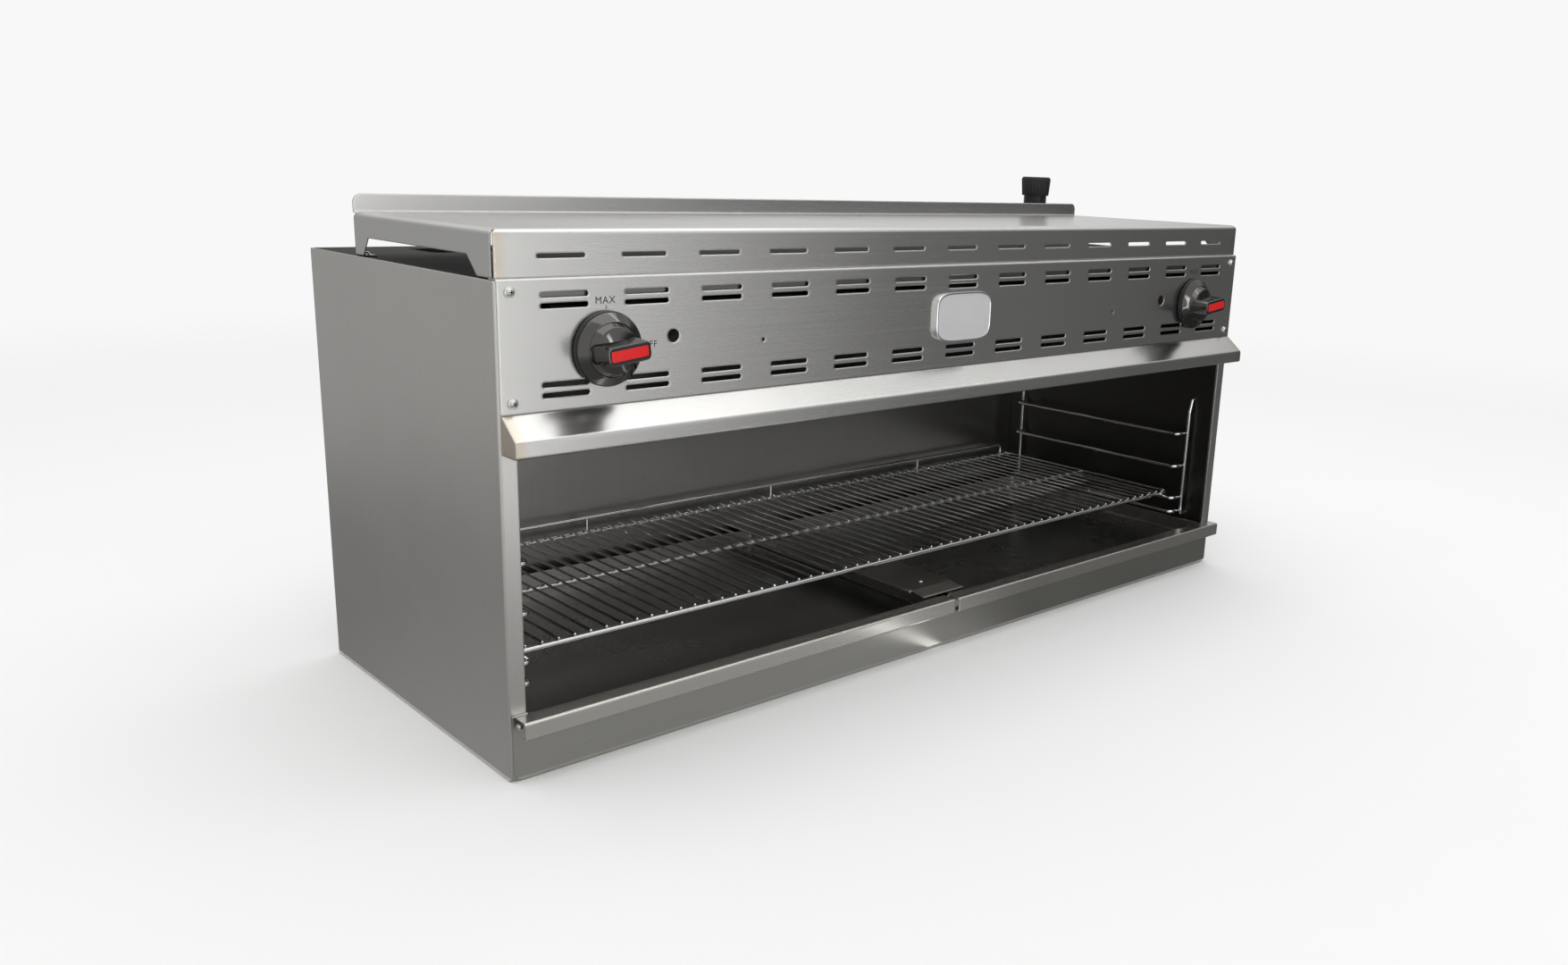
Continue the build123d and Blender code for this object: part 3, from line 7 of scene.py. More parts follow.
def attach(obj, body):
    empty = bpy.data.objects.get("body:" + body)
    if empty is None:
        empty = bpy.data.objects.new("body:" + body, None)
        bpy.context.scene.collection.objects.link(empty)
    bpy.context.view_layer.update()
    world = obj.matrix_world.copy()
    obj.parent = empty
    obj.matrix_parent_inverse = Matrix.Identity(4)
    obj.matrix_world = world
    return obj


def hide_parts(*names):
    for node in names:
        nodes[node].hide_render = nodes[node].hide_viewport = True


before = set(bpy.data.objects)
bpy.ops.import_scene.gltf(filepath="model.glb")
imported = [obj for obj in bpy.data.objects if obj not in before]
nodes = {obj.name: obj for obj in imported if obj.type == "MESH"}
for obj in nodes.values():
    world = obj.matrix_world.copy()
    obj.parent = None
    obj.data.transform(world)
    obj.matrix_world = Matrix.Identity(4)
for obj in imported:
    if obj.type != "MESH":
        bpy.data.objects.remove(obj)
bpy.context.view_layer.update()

panelFace = -0.2202            # the control panel's outer face, in metres along Y
paleTone = 0.94                # the studio's background
sides = ((-1, "left"), (1, "right"))


# shader maths
class Value:
    # a number socket that can stand in a Python expression
    def __init__(self, finish, socket):
        self.finish, self.socket = finish, socket

    def combine(self, operation, first, second):
        node = self.finish.node("ShaderNodeMath", {"operation": operation}, {0: first, 1: second})
        return Value(self.finish, node.outputs[0])

    def __add__(self, other):
        return self.combine("ADD", self, other)

    def __radd__(self, other):
        return self.combine("ADD", other, self)

    def __sub__(self, other):
        return self.combine("SUBTRACT", self, other)

    def __rsub__(self, other):
        return self.combine("SUBTRACT", other, self)

    def __mul__(self, other):
        return self.combine("MULTIPLY", self, other)

    def __rmul__(self, other):
        return self.combine("MULTIPLY", other, self)

    def atLeast(self, other):
        return self.combine("MAXIMUM", self, other)

    def atMost(self, other):
        return self.combine("MINIMUM", self, other)

    def between(self, low, high):
        # 0 below low, 1 above high, and a soft step in between
        node = self.finish.node("ShaderNodeMapRange", {"interpolation_type": "SMOOTHSTEP"},
                                {"Value": self, "From Min": low, "From Max": high})
        return Value(self.finish, node.outputs["Result"])


class Finish:
    # a material under construction, with one way to add any node
    def __init__(self, tree):
        self.tree = tree
        tree.nodes.clear()

    def node(self, kind, settings=None, sockets=None):
        made = self.tree.nodes.new(kind)
        for name, setting in (settings or {}).items():
            if name == "stops":
                self.setStops(made.color_ramp, setting)
            else:
                setattr(made, name, setting)
        for name, given in (sockets or {}).items():
            self.feed(made.inputs[name], given)
        return made

    def setStops(self, ramp, stops):
        while len(ramp.elements) < len(stops):
            ramp.elements.new(1.0)
        for element, (place, tone) in zip(ramp.elements, stops):
            element.position = place
            element.color = colour(tone)

    def feed(self, socket, given):
        if isinstance(given, Value):
            self.tree.links.new(given.socket, socket)
        elif isinstance(given, bpy.types.NodeSocket):
            self.tree.links.new(given, socket)
        else:
            socket.default_value = given

    def place(self, scale=(1, 1, 1), shift=(0, 0, 0)):
        # object coordinates, stretched and moved
        here = self.node("ShaderNodeTexCoord").outputs["Object"]
        return self.node("ShaderNodeMapping", None, {
            "Vector": here, "Scale": scale, "Location": shift}).outputs["Vector"]

    def axis(self, name):
        here = self.node("ShaderNodeTexCoord").outputs["Object"]
        return Value(self, self.node("ShaderNodeSeparateXYZ", None, {"Vector": here}).outputs[name])

    def reach(self):
        # distance from the origin
        return Value(self, self.node("ShaderNodeVectorMath", {"operation": "LENGTH"},
                                     {0: self.place()}).outputs["Value"])

    def noise(self, where, scale, detail=3.0, roughness=0.5):
        made = self.node("ShaderNodeTexNoise", None, {
            "Vector": where, "Scale": scale, "Detail": detail, "Roughness": roughness})
        return Value(self, made.outputs["Fac"])

    def tint(self, amount, first, second):
        # a colour between two, by a number; sockets 6 and 7 are the node's two colours
        made = self.node("ShaderNodeMix", {"data_type": "RGBA"})
        for socket, given in (("Factor", amount), (6, first), (7, second)):
            self.feed(made.inputs[socket], given)
        return made.outputs[2]

    def bump(self, height, strength, distance, soften=0.0):
        sockets = {"Height": height, "Strength": strength, "Distance": distance}
        if soften:
            sockets["Normal"] = self.node("ShaderNodeBevel", {"samples": 6}, {"Radius": soften}).outputs[0]
        return self.node("ShaderNodeBump", None, sockets).outputs["Normal"]


def colour(red, green=None, blue=None):
    return (red, red if green is None else green, red if blue is None else blue, 1)


def surface(name):
    # a Principled material; its sockets are given when it is finished
    material = bpy.data.materials.new(name)
    material.use_nodes = True
    finish = Finish(material.node_tree)
    finish.material = material
    finish.shader = finish.node("ShaderNodeBsdfPrincipled")
    finish.output = finish.node("ShaderNodeOutputMaterial", None, {"Surface": finish.shader.outputs[0]})
    return finish


def finished(finish, sockets):
    for name, given in sockets.items():
        finish.feed(finish.shader.inputs[name], given)
    return finish.material


# finishes
steelLook = {
    "bright": (0.62, 0.615, 0.60), "deep": (0.50, 0.495, 0.48), "heat": (0.52, 0.40, 0.26),
    "rough": 0.25, "roughByCloud": 0.16, "roughByLine": 0.12, "grain": 0.13, "smudge": 0.12,
    "scratches": (11.0, 1500.0, 1500.0), "wider": 0.22, "soften": 0.0028, "heatShare": 0.8,
    "corner": (0.590, 0.606), "frontEdge": (-0.2145, -0.2115),
}
# lit and shaded copies of the same steel: the tray handles are painted lighter as painted light, and the
# lower front panel and divider cap darker as painted shade under the handles
litLipLook = dict(steelLook, bright=(0.70, 0.685, 0.64), deep=(0.58, 0.565, 0.52))
shadedFootLook = dict(steelLook, bright=(0.50, 0.495, 0.46), deep=(0.40, 0.395, 0.365), rough=0.30)


def brushedSteel(name, look=steelLook, heated=False):
    # long fine scratches along X, wide smudges, and a bend softened at each edge
    finish = surface(name)
    grain = finish.noise(finish.place(look["scratches"]), 1.0, 3.0, 0.6)
    coarse = tuple(scale * look["wider"] for scale in look["scratches"])
    wider = finish.noise(finish.place(coarse), 1.0, 2.0, 0.5)
    smudge = finish.noise(finish.place(), 7.0, 4.0, 0.6)
    cloud = finish.noise(finish.place(shift=(3, 1, 2)), 2.3, 2.0, 0.5)
    lines = grain * 0.6 + wider * 0.4
    shade = (lines - 0.5) * look["grain"] * 2 + (smudge - 0.5) * look["smudge"] * 2 + 0.5
    base = finish.tint(shade.atLeast(0).atMost(1), colour(*look["deep"]), colour(*look["bright"]))
    if heated:
        # a faint straw tint where the front corners were welded
        side = finish.axis("X")
        edge = side.combine("ABSOLUTE", side, 0).between(*look["corner"])
        front = 1 - finish.axis("Y").between(*look["frontEdge"])
        base = finish.tint(edge * front * smudge * look["heatShare"], base, colour(*look["heat"]))
    rough = (cloud - 0.5) * look["roughByCloud"] + (lines - 0.5) * look["roughByLine"] + look["rough"]
    return finished(finish, {
        "Base Color": base, "Metallic": 1.0, "Roughness": rough,
        "Normal": finish.bump(lines, 0.06, 0.0004, look["soften"])})


def satinSteel(name, bright, deep, rough, spread=5.0, edge=1.0):
    # a sheet with a cloudy satin face; edge darkens what it mirrors at a flat angle
    finish = surface(name)
    speckle = 0.24
    cloud = finish.noise(finish.place(), spread, 5.0, 0.62)
    fine = finish.noise(finish.place((1, 1, 2.5)), 160.0, 3.0, 0.6)
    drag = finish.noise(finish.place((300, 300, 9)), 1.0, 2.0, 0.5)
    shade = (cloud - 0.5) * 0.6 + (fine - 0.5) * speckle + (drag - 0.5) * speckle + 0.5
    base = finish.tint(shade.atLeast(0).atMost(1), colour(*deep), colour(*bright))
    return finished(finish, {
        "Base Color": base, "Metallic": 1.0, "Roughness": (cloud - 0.5) * 0.12 + rough,
        "Specular Tint": colour(edge), "Normal": finish.bump(fine + drag, 0.05, 0.0003, 0.0025)})


def platedMetal(name, bright, rough, wear=0.06, soften=0.0):
    # a plated or polished metal with small clouds in its shine
    finish = surface(name)
    cloud = finish.noise(finish.place(), 52.0, 3.0, 0.5)
    fine = finish.noise(finish.place(), 260.0, 3.0, 0.6)
    base = finish.tint(cloud, colour(*(part * 0.86 for part in bright)), colour(*bright))
    return finished(finish, {
        "Base Color": base, "Metallic": 1.0, "Roughness": (cloud - 0.5) * wear + rough,
        "Normal": finish.bump(fine, 0.03, 0.0002, soften)})


def castOrMoulded(name, light, dark, rough, grain, depth, metallic=0.0, coat=0.0):
    # a cast or moulded face: fine pores and a slow change of shade
    finish = surface(name)
    pores = finish.noise(finish.place(), grain, 4.0, 0.6)
    cloud = finish.noise(finish.place(), 30.0, 2.0, 0.5)
    base = finish.tint(pores * 0.5 + cloud * 0.5, colour(*dark), colour(*light))
    sockets = {"Base Color": base, "Metallic": metallic, "Roughness": (cloud - 0.5) * 0.16 + rough,
               "Normal": finish.bump(pores, depth, 0.0003), "Specular IOR Level": 0.25}
    if coat:
        sockets.update({"Coat Weight": coat, "Coat Roughness": 0.04})
    return finished(finish, sockets)


def drilledCeramic(name):
    # pale porous tile with rows of tiny flame ports, each painted dark as the shade inside it
    finish = surface(name)
    ports = finish.node("ShaderNodeTexVoronoi", {"feature": "F1"}, {
        "Vector": finish.place((1, 1, 0.02)), "Scale": 420.0, "Randomness": 0.1})
    portShade = 1 - Value(finish, ports.outputs["Distance"]).between(0.16, 0.3)
    cloud = finish.noise(finish.place(), 60.0, 4.0, 0.6)
    base = finish.tint(cloud, colour(0.66, 0.58, 0.48), colour(0.80, 0.75, 0.67))
    return finished(finish, {
        "Base Color": finish.tint(portShade, base, colour(0.08, 0.06, 0.05)), "Roughness": 0.9,
        "Normal": finish.bump(cloud - portShade, 0.5, 0.001)})


brushed = brushedSteel("brushedSteel")
brushedCorners = brushedSteel("brushedSteelWithWelds", heated=True)
brushedCover = brushedSteel("brushedCover", heated=True)
litBrushedLip = brushedSteel("litBrushedLip", look=litLipLook)
shadedBrushedFoot = brushedSteel("shadedBrushedFoot", look=shadedFootLook)
sideSheet = satinSteel("sideSheet", (0.62, 0.61, 0.585), (0.50, 0.49, 0.465), rough=0.34)
hiddenSheet = satinSteel("hiddenSheet", (0.55, 0.545, 0.53), (0.44, 0.435, 0.42), rough=0.36)
# painted shade: the top panel gets a near-black tone and a darkened flat-angle reflection, so the space
# seen through the panel's slots looks shaded
paintedShadeSheet = satinSteel("paintedShadeSheet", (0.20, 0.197, 0.19), (0.15, 0.148, 0.142), rough=0.4, edge=0.2)
linerSheet = satinSteel("linerSheet", (0.33, 0.325, 0.31), (0.24, 0.235, 0.225), rough=0.3, spread=3.5)
# painted shade: the cavity's side walls and ceiling get a near-black tone and a darkened flat-angle
# reflection for the shade inside the cavity
cavityShadeSheet = satinSteel("cavityShadeSheet", (0.10, 0.098, 0.094), (0.07, 0.069, 0.066),
                       rough=0.32, spread=3.5, edge=0.4)
traySheet = satinSteel("traySheet", (0.50, 0.49, 0.475), (0.36, 0.355, 0.345), rough=0.26, spread=6.0)
chrome = platedMetal("chromeWire", (0.83, 0.83, 0.84), rough=0.1)
zinc = platedMetal("zincPlate", (0.64, 0.64, 0.62), rough=0.3, soften=0.0008)
smokedChrome = platedMetal("smokedChrome", (0.10, 0.098, 0.095), rough=0.06, wear=0.03)
badgeRim = platedMetal("badgeRim", (0.86, 0.86, 0.86), rough=0.14)
badgeField = castOrMoulded("badgeField", (0.66, 0.66, 0.67), (0.58, 0.58, 0.59),
                           rough=0.42, grain=700.0, depth=0.03, metallic=0.3)
brassBar = platedMetal("machinedBrass", (0.74, 0.58, 0.30), rough=0.28)
drawnTube = platedMetal("drawnAluminium", (0.76, 0.76, 0.77), rough=0.3)
millPipe = castOrMoulded("millPipe", (0.16, 0.155, 0.15), (0.08, 0.075, 0.07),
                         rough=0.45, grain=300.0, depth=0.2, metallic=0.8)
castIron = castOrMoulded("sandCasting", (0.13, 0.125, 0.12), (0.05, 0.05, 0.048),
                         rough=0.62, grain=420.0, depth=0.6, metallic=0.5)
burnerSheet = satinSteel("aluminisedSheet", (0.46, 0.45, 0.43), (0.34, 0.33, 0.31), rough=0.45)
ceramic = drilledCeramic("burnerTile")
blackPlastic = castOrMoulded("blackPlastic", (0.022, 0.022, 0.023), (0.010, 0.010, 0.011),
                             rough=0.34, grain=900.0, depth=0.12)
blackFitting = castOrMoulded("blackFitting", (0.035, 0.034, 0.033), (0.015, 0.015, 0.015),
                             rough=0.42, grain=500.0, depth=0.3, metallic=0.3)
glossyRed = castOrMoulded("glossyRed", (0.74, 0.006, 0.005), (0.62, 0.003, 0.003),
                          rough=0.28, grain=260.0, depth=0.02, coat=0.22)
# dark print for the etched marks, also used as painted shade for the screws' driver recesses
darkPrintAndRecessShade = castOrMoulded("etchedPrintAndPaintedRecessShade", (0.030, 0.030, 0.031), (0.015, 0.015, 0.016),
                          rough=0.6, grain=900.0, depth=0.05)
print("finishes made")

nodeFinishes = {
    brushed: ["control_panel"],
    litBrushedLip: ["left_tray_handle", "right_tray_handle"],
    shadedBrushedFoot: ["lower_front_panel", "divider_cap"],
    brushedCorners: ["front_ledge"],
    brushedCover: ["top_cover"],
    sideSheet: ["left_side_panel", "right_side_panel"],
    hiddenSheet: ["rear_panel", "bottom_panel"],
    paintedShadeSheet: ["top_panel"],
    linerSheet: ["cavity_rear", "ceiling_brackets", "heat_shield"],
    cavityShadeSheet: ["left_cavity_side", "right_cavity_side", "cavity_ceiling"],
    traySheet: ["left_drip_tray", "right_drip_tray", "tray_deck", "tray_runners", "divider_channel"],
    chrome: ["left_rack_guide", "right_rack_guide", "wire_rack"],
    zinc: ["leg_nuts", "control_panel_screws", "lower_panel_screws", "top_cover_screws",
           "left_tray_rivets", "right_tray_rivets", "divider_rivets",
           "left_valve_stem", "right_valve_stem"],
    badgeRim: ["emblem_plate"],
    burnerSheet: ["left_burner", "right_burner", "burner_screens"],
    ceramic: ["burner_tiles"],
    castIron: ["mixer_tubes"],
    brassBar: ["gas_valves", "orifice_spuds", "pilot_valves"],
    drawnTube: ["pilot_tubes", "pilot_burners"],
    millPipe: ["gas_manifold", "manifold_elbow", "gas_feed_pipe", "inlet_elbow", "gas_inlet_pipe"],
    blackFitting: ["inlet_coupling"],
    blackPlastic: ["inlet_cap", "left_knob_base", "right_knob_base"],
    smokedChrome: ["left_knob", "right_knob"],
    glossyRed: ["left_knob_insert", "right_knob_insert"],
}
for finish, names in nodeFinishes.items():
    for name in names:
        nodes[name].data.materials.clear()
        nodes[name].data.materials.append(finish)
print("CAD nodes finished:", sum(len(names) for names in nodeFinishes.values()), "of", len(nodes))


# surfaces
def gridQuads(rows, columns):
    # quads between neighbouring rows, with each row closed on itself
    row, column = np.meshgrid(np.arange(rows - 1), np.arange(columns), indexing="ij")
    following = (column + 1) % columns
    corners = [row * columns + column, row * columns + following,
               (row + 1) * columns + following, (row + 1) * columns + column]
    return np.stack(corners, axis=-1).reshape(-1, 4).tolist()


def meshObject(name, points, faces, finishes):
    # an object at the origin, in model coordinates
    mesh = bpy.data.meshes.new(name)
    mesh.from_pydata(np.asarray(points, float).reshape(-1, 3).tolist(), [], faces)
    for finish in finishes:
        mesh.materials.append(finish)
    made = bpy.data.objects.new(name, mesh)
    bpy.context.scene.collection.objects.link(made)
    return made


def makePiece(name, points, faces, finishes, body, slotName, stands=()):
    # shaded smooth but for its sharp edges; stands lists the CAD nodes that it takes the place of
    piece = meshObject(name, points, faces, finishes)
    piece.data.polygons.foreach_set("use_smooth", np.ones(len(piece.data.polygons), bool))
    piece.data.set_sharp_from_angle(angle=radians(35))
    if stands:
        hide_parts(*stands)
    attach(piece, body)
    return piece


def spun(profile, count, ribs=0, depth=0.0):
    # revolves radius and height pairs about Z: x = r cos a, y = r sin a; ribs ripple the radius
    turn = np.linspace(0, 2 * pi, count, endpoint=False)
    radius, height = np.asarray(profile, float).T[:, :, None]
    ripple = depth * (np.cos(ribs * turn) - 1) / 2
    radius = radius + np.where(radius > 0.0001, ripple, 0)
    rings = np.stack([radius * np.cos(turn), radius * np.sin(turn), height + 0 * turn], axis=-1)
    return rings.reshape(-1, 3), gridQuads(len(profile), count)


def softOutline(length, width, corner, steps=6):
    # a rectangle with round corners, as points in order: corner centre plus corner times (cos, sin)
    angles = np.linspace(0, pi / 2, steps)
    quarters = (np.arange(4) * pi / 2)[:, None] + angles
    centres = np.array([(1, 1), (-1, 1), (-1, -1), (1, -1)]) * (length / 2 - corner, width / 2 - corner)
    return np.stack([centres[:, :1] + corner * np.cos(quarters),
                     centres[:, 1:] + corner * np.sin(quarters)], axis=-1).reshape(-1, 2)


def ringsAt(outlines, heights):
    # each flat outline lifted to its height
    return [np.column_stack([outline, np.full(len(outline), height)])
            for outline, height in zip(outlines, heights)]


def stackedOutlines(outlines, heights):
    # rings of points at the given heights, with the last ring closed by a face
    count = len(outlines[0])
    faces = gridQuads(len(outlines), count)
    faces.append(list(range((len(outlines) - 1) * count, len(outlines) * count)))
    return np.concatenate(ringsAt(outlines, heights)), faces


def joined(*surfaces):
    # several surfaces as one list of points and faces
    points, faces, start = [], [], 0
    for some, theirs in surfaces:
        points.append(np.asarray(some))
        faces += [[corner + start for corner in face] for face in theirs]
        start += len(some)
    return np.concatenate(points), faces


def unit(vector):
    return vector / np.linalg.norm(vector)


def roundedPath(corners, radius, steps=7):
    # straight runs with a true arc of the radius at each corner
    corners = np.asarray(corners, float)
    path = [corners[:1]]
    for before, corner, after in zip(corners, corners[1:], corners[2:]):
        there, back = unit(before - corner), unit(after - corner)
        half = np.arccos(np.clip(there @ back, -1, 1)) / 2
        centre = corner + unit(there + back) * radius / np.sin(half)
        first = corner + there * radius / np.tan(half) - centre
        last = corner + back * radius / np.tan(half) - centre
        part = np.linspace(0, 1, steps)[:, None]
        sweep = pi - 2 * half
        arc = (first * np.sin((1 - part) * sweep) + last * np.sin(part * sweep)) / np.sin(sweep)
        path.append(centre + arc)
    path.append(corners[-1:])
    return np.concatenate(path)


def tube(path, flatAxis, radius, around=12):
    # a round wire whose path lies in one plane: path + radius (cos a flatAxis + sin a side)
    path = np.asarray(path, float)
    along = np.gradient(path, axis=0)
    along /= np.linalg.norm(along, axis=1)[:, None]
    flat = np.asarray(flatAxis, float)
    side = np.cross(along, flat)
    side /= np.linalg.norm(side, axis=1)[:, None]
    turn = np.linspace(0, 2 * pi, around, endpoint=False)[None, :, None]
    points = path[:, None] + radius * (np.cos(turn) * flat + np.sin(turn) * side[:, None])
    faces = [face[::-1] for face in gridQuads(len(path), around)]
    faces.append(list(range(around)))
    faces.append(list(range(len(path) * around - around, len(path) * around))[::-1])
    return points.reshape(-1, 3), faces


def seated(points, where, outward=(0, -1, 0), tilt=0.0):
    # points drawn about Z, turned so that Z points outward, and moved to their place
    out = Vector(outward)
    across = Vector((1, 0, 0))
    turn = np.array([across, out.cross(across), out]).T
    tilted = np.array(Matrix.Rotation(tilt, 3, "Z"))
    return np.asarray(points) @ (turn @ tilted).T + np.asarray(where)


# knobs
knobSize = {
    "x": 0.497, "z": 0.420, "tilt": radians(6.5), "standoff": 0.0008, "baseRadius": 0.0362,
    "baseBore": 0.005, "baseTop": 0.007, "skirtRadius": 0.0352, "hubRadius": 0.0262, "hubTop": 0.0145,
    "hubWall": 0.0072, "hubFace": 0.0222, "crown": 0.0052,
    "gripLength": 0.047, "gripWidth": 0.0185, "gripFoot": 0.010, "gripTop": 0.043, "draft": 0.0020,
    "gripCorner": 0.0055, "gripRoll": 0.0016, "border": 0.0036, "borderCorner": 0.0038, "proud": 0.0003,
    "insertLength": 0.0405, "insertWidth": 0.0105, "insertCorner": 0.0018, "insertRise": 0.0006,
    "insertRoll": 0.0009,
}


def knobSkirt(size):
    # a thin rim, a cone, a groove, then a hub that leans in and falls off as a circle does
    rim, hub, foot = size["skirtRadius"], size["hubRadius"], size["hubTop"]
    face, shoulder, top = size["hubFace"], foot + size["hubWall"], size["baseTop"]
    part = np.linspace(0, 1, 9)
    dome = np.column_stack([face * (1 - part) + 0.0001, shoulder + size["crown"] * np.sin(part * pi / 2)])
    profile = np.concatenate([
        [(rim - 0.0004, top), (rim, top + 0.0004), (rim, top + 0.0016), (rim - 0.0005, top + 0.0022),
         (hub + 0.0012, foot - 0.0006), (hub + 0.0006, foot), (hub, foot - 0.0003),
         (hub - 0.0006, foot + 0.0004), (face + 0.0008, shoulder - 0.0008),
         (face + 0.0004, shoulder - 0.0002)], dome])
    return spun(profile, 72)


def knobGrip(size):
    # a bar that narrows upwards, with its top edge rolled over by a quarter circle
    roll = size["gripRoll"]
    part = np.linspace(0, pi / 2, 5)
    heights = [size["gripFoot"]] + list(size["gripTop"] - roll + roll * np.sin(part))
    insets = [-size["draft"]] + list(roll * (1 - np.cos(part)))
    outlines = [softOutline(size["gripLength"] - 2 * inset, size["gripWidth"] - 2 * inset,
                            size["gripCorner"] - inset * 0.6) for inset in insets]
    return stackedOutlines(outlines, heights)


def knobFrame(size):
    # the dark border on the grip's face, standing a hair above it
    border, gap, top, proud = size["border"], 0.0002, size["gripTop"], size["proud"]
    outer = softOutline(size["gripLength"] - border, size["gripWidth"] - border, size["borderCorner"])
    inner = softOutline(size["insertLength"] + gap, size["insertWidth"] + gap, size["insertCorner"])
    points = ringsAt([outer, outer * 0.995, inner, inner], [top, top + proud, top + proud, top - gap])
    return np.concatenate(points), gridQuads(4, len(outer))


def knobInsert(size):
    # a pillow strip: each ring steps in and up along a quarter circle
    part = np.linspace(0, pi / 2, 5)
    heights = [size["gripTop"] - 0.0010] + list(size["gripTop"] + size["insertRise"] * np.sin(part))
    insets = [0.0] + list(size["insertRoll"] * (1 - np.cos(part)))
    outlines = [softOutline(size["insertLength"] - 2 * inset, size["insertWidth"] - 2 * inset,
                            size["insertCorner"] - inset) for inset in insets]
    return stackedOutlines(outlines, heights)


def knobBase(size):
    # the dark ring behind the skirt
    bore, outer, foot, top = size["baseBore"], size["baseRadius"], size["standoff"], size["baseTop"]
    profile = [(bore, foot), (outer - 0.0008, foot), (outer, foot + 0.0008),
               (outer, top - 0.0012), (outer - 0.0010, top), (bore, top)]
    return spun(profile, 64)


for side, label in sides:
    where = (side * knobSize["x"], panelFace, knobSize["z"])
    bodySurface = joined(knobSkirt(knobSize), knobGrip(knobSize))
    for name, (points, faces), finish, slotName, stands in (
        ("KnobBody", bodySurface, smokedChrome, "knob_chrome", [label + "_knob"]),
        ("KnobFrame", knobFrame(knobSize), blackPlastic, "black_plastic", []),
        ("KnobInsert", knobInsert(knobSize), glossyRed, "knob_red", [label + "_knob_insert"]),
        ("KnobRing", knobBase(knobSize), blackPlastic, "black_plastic", [label + "_knob_base"]),
    ):
        points = seated(points, where, tilt=knobSize["tilt"])
        makePiece(label + name, points, faces, [finish], label + "_knob", slotName, stands)
print("knobs made")


# marks beside the knobs
markSize = {
    "proud": 0.00006, "capShare": 0.70, "spacing": 1.12,
    "marks": [("MAX", 0.0068, -0.497, 0.4627), ("OFF", 0.0065, -0.4476, 0.4178),
              ("MAX", 0.0068, 0.497, 0.4627), ("OFF", 0.0065, 0.5464, 0.4178)],
    "tickHeight": 0.004, "tickWidth": 0.0006, "tickAside": 0.0011, "tickZ": 0.4572,
}


def wordMesh(word, height, size):
    # outline text turned into flat faces; a capital takes up capShare of the font's size
    curve = bpy.data.curves.new("word" + word, "FONT")
    curve.body, curve.size, curve.align_x = word, height / size["capShare"], "CENTER"
    curve.space_character = size["spacing"]
    holder = bpy.data.objects.new("word" + word, curve)
    bpy.context.scene.collection.objects.link(holder)
    mesh = bpy.data.meshes.new_from_object(holder.evaluated_get(bpy.context.evaluated_depsgraph_get()))
    bpy.data.objects.remove(holder)
    points = np.zeros(len(mesh.vertices) * 3)
    mesh.vertices.foreach_get("co", points)
    return points.reshape(-1, 3), [list(polygon.vertices) for polygon in mesh.polygons]


def makeMark(name, points, faces, x, z):
    points = seated(points, (x, panelFace - markSize["proud"], z))
    makePiece(name, points, faces, [darkPrintAndRecessShade], "cabinet", "black_plastic")


bpy.context.view_layer.update()
for index, (word, height, x, z) in enumerate(markSize["marks"]):
    makeMark("mark" + word.title() + str(index), *wordMesh(word, height, markSize), x, z)
tick = np.array([(-1, 0, 0), (1, 0, 0), (1, 2, 0), (-1, 2, 0)]) * (
    markSize["tickWidth"] / 2, markSize["tickHeight"] / 2, 0)
for side, label in sides:
    makeMark(label + "Tick", tick, [[0, 1, 2, 3]],
             side * knobSize["x"] + markSize["tickAside"], markSize["tickZ"])
print("marks made")


# wire rack and its guides
rackSize = {
    "half": 0.568, "barRadius": 0.00325, "wireRadius": 0.0017, "pitch": 0.019, "count": 60,
    "front": -0.159, "middle": 0.007, "rear": 0.174, "tip": 0.004, "barZ": 0.1087,
    "noseLength": 0.0008, "noseShare": 0.55, "fenceHeight": 0.020, "fenceRadius": 0.0022,
    "fenceBend": 0.007, "aside": 0.0043, "fenceEnds": ((1, -1), (58, 1)),
    "fencePosts": ((14, 1), (31, -1), (47, 1)),
}
rungSize = {
    "levels": (0.080, 0.1025, 0.1545, 0.207), "radius": 0.00275, "uprightRadius": 0.0025,
    "x": -0.5836, "out": -0.5631, "hooked": -0.5966, "front": -0.1766, "rear": 0.1536,
    "foot": 0.076, "shoulder": 0.241, "hook": 0.262, "run": 0.005, "bend": 0.007, "hookBend": 0.0035,
    "past": 0.0025,
}


def rackWires(size):
    # equal wires from front to rear, each straight, with a narrowed nose at its ends
    around, nose, radius = 10, size["noseLength"], size["wireRadius"]
    z = size["barZ"] + size["barRadius"] + radius
    start, end = size["front"] - size["tip"], size["rear"] + size["tip"]
    y = np.array([start, start + nose, end - nose, end])[:, None]
    swell = np.array([size["noseShare"], 1, 1, size["noseShare"]])[:, None] * radius
    turn = np.linspace(0, 2 * pi, around, endpoint=False)
    wire = np.stack([swell * np.cos(turn), y + 0 * turn, z + swell * np.sin(turn)], -1).reshape(-1, 3)
    faces = gridQuads(4, around) + [list(range(around))[::-1], list(range(3 * around, 4 * around))]
    faces = [face[::-1] for face in faces]
    x = (np.arange(size["count"]) - (size["count"] - 1) / 2) * size["pitch"]
    return joined(*((wire + (shift, 0, 0), faces) for shift in x))


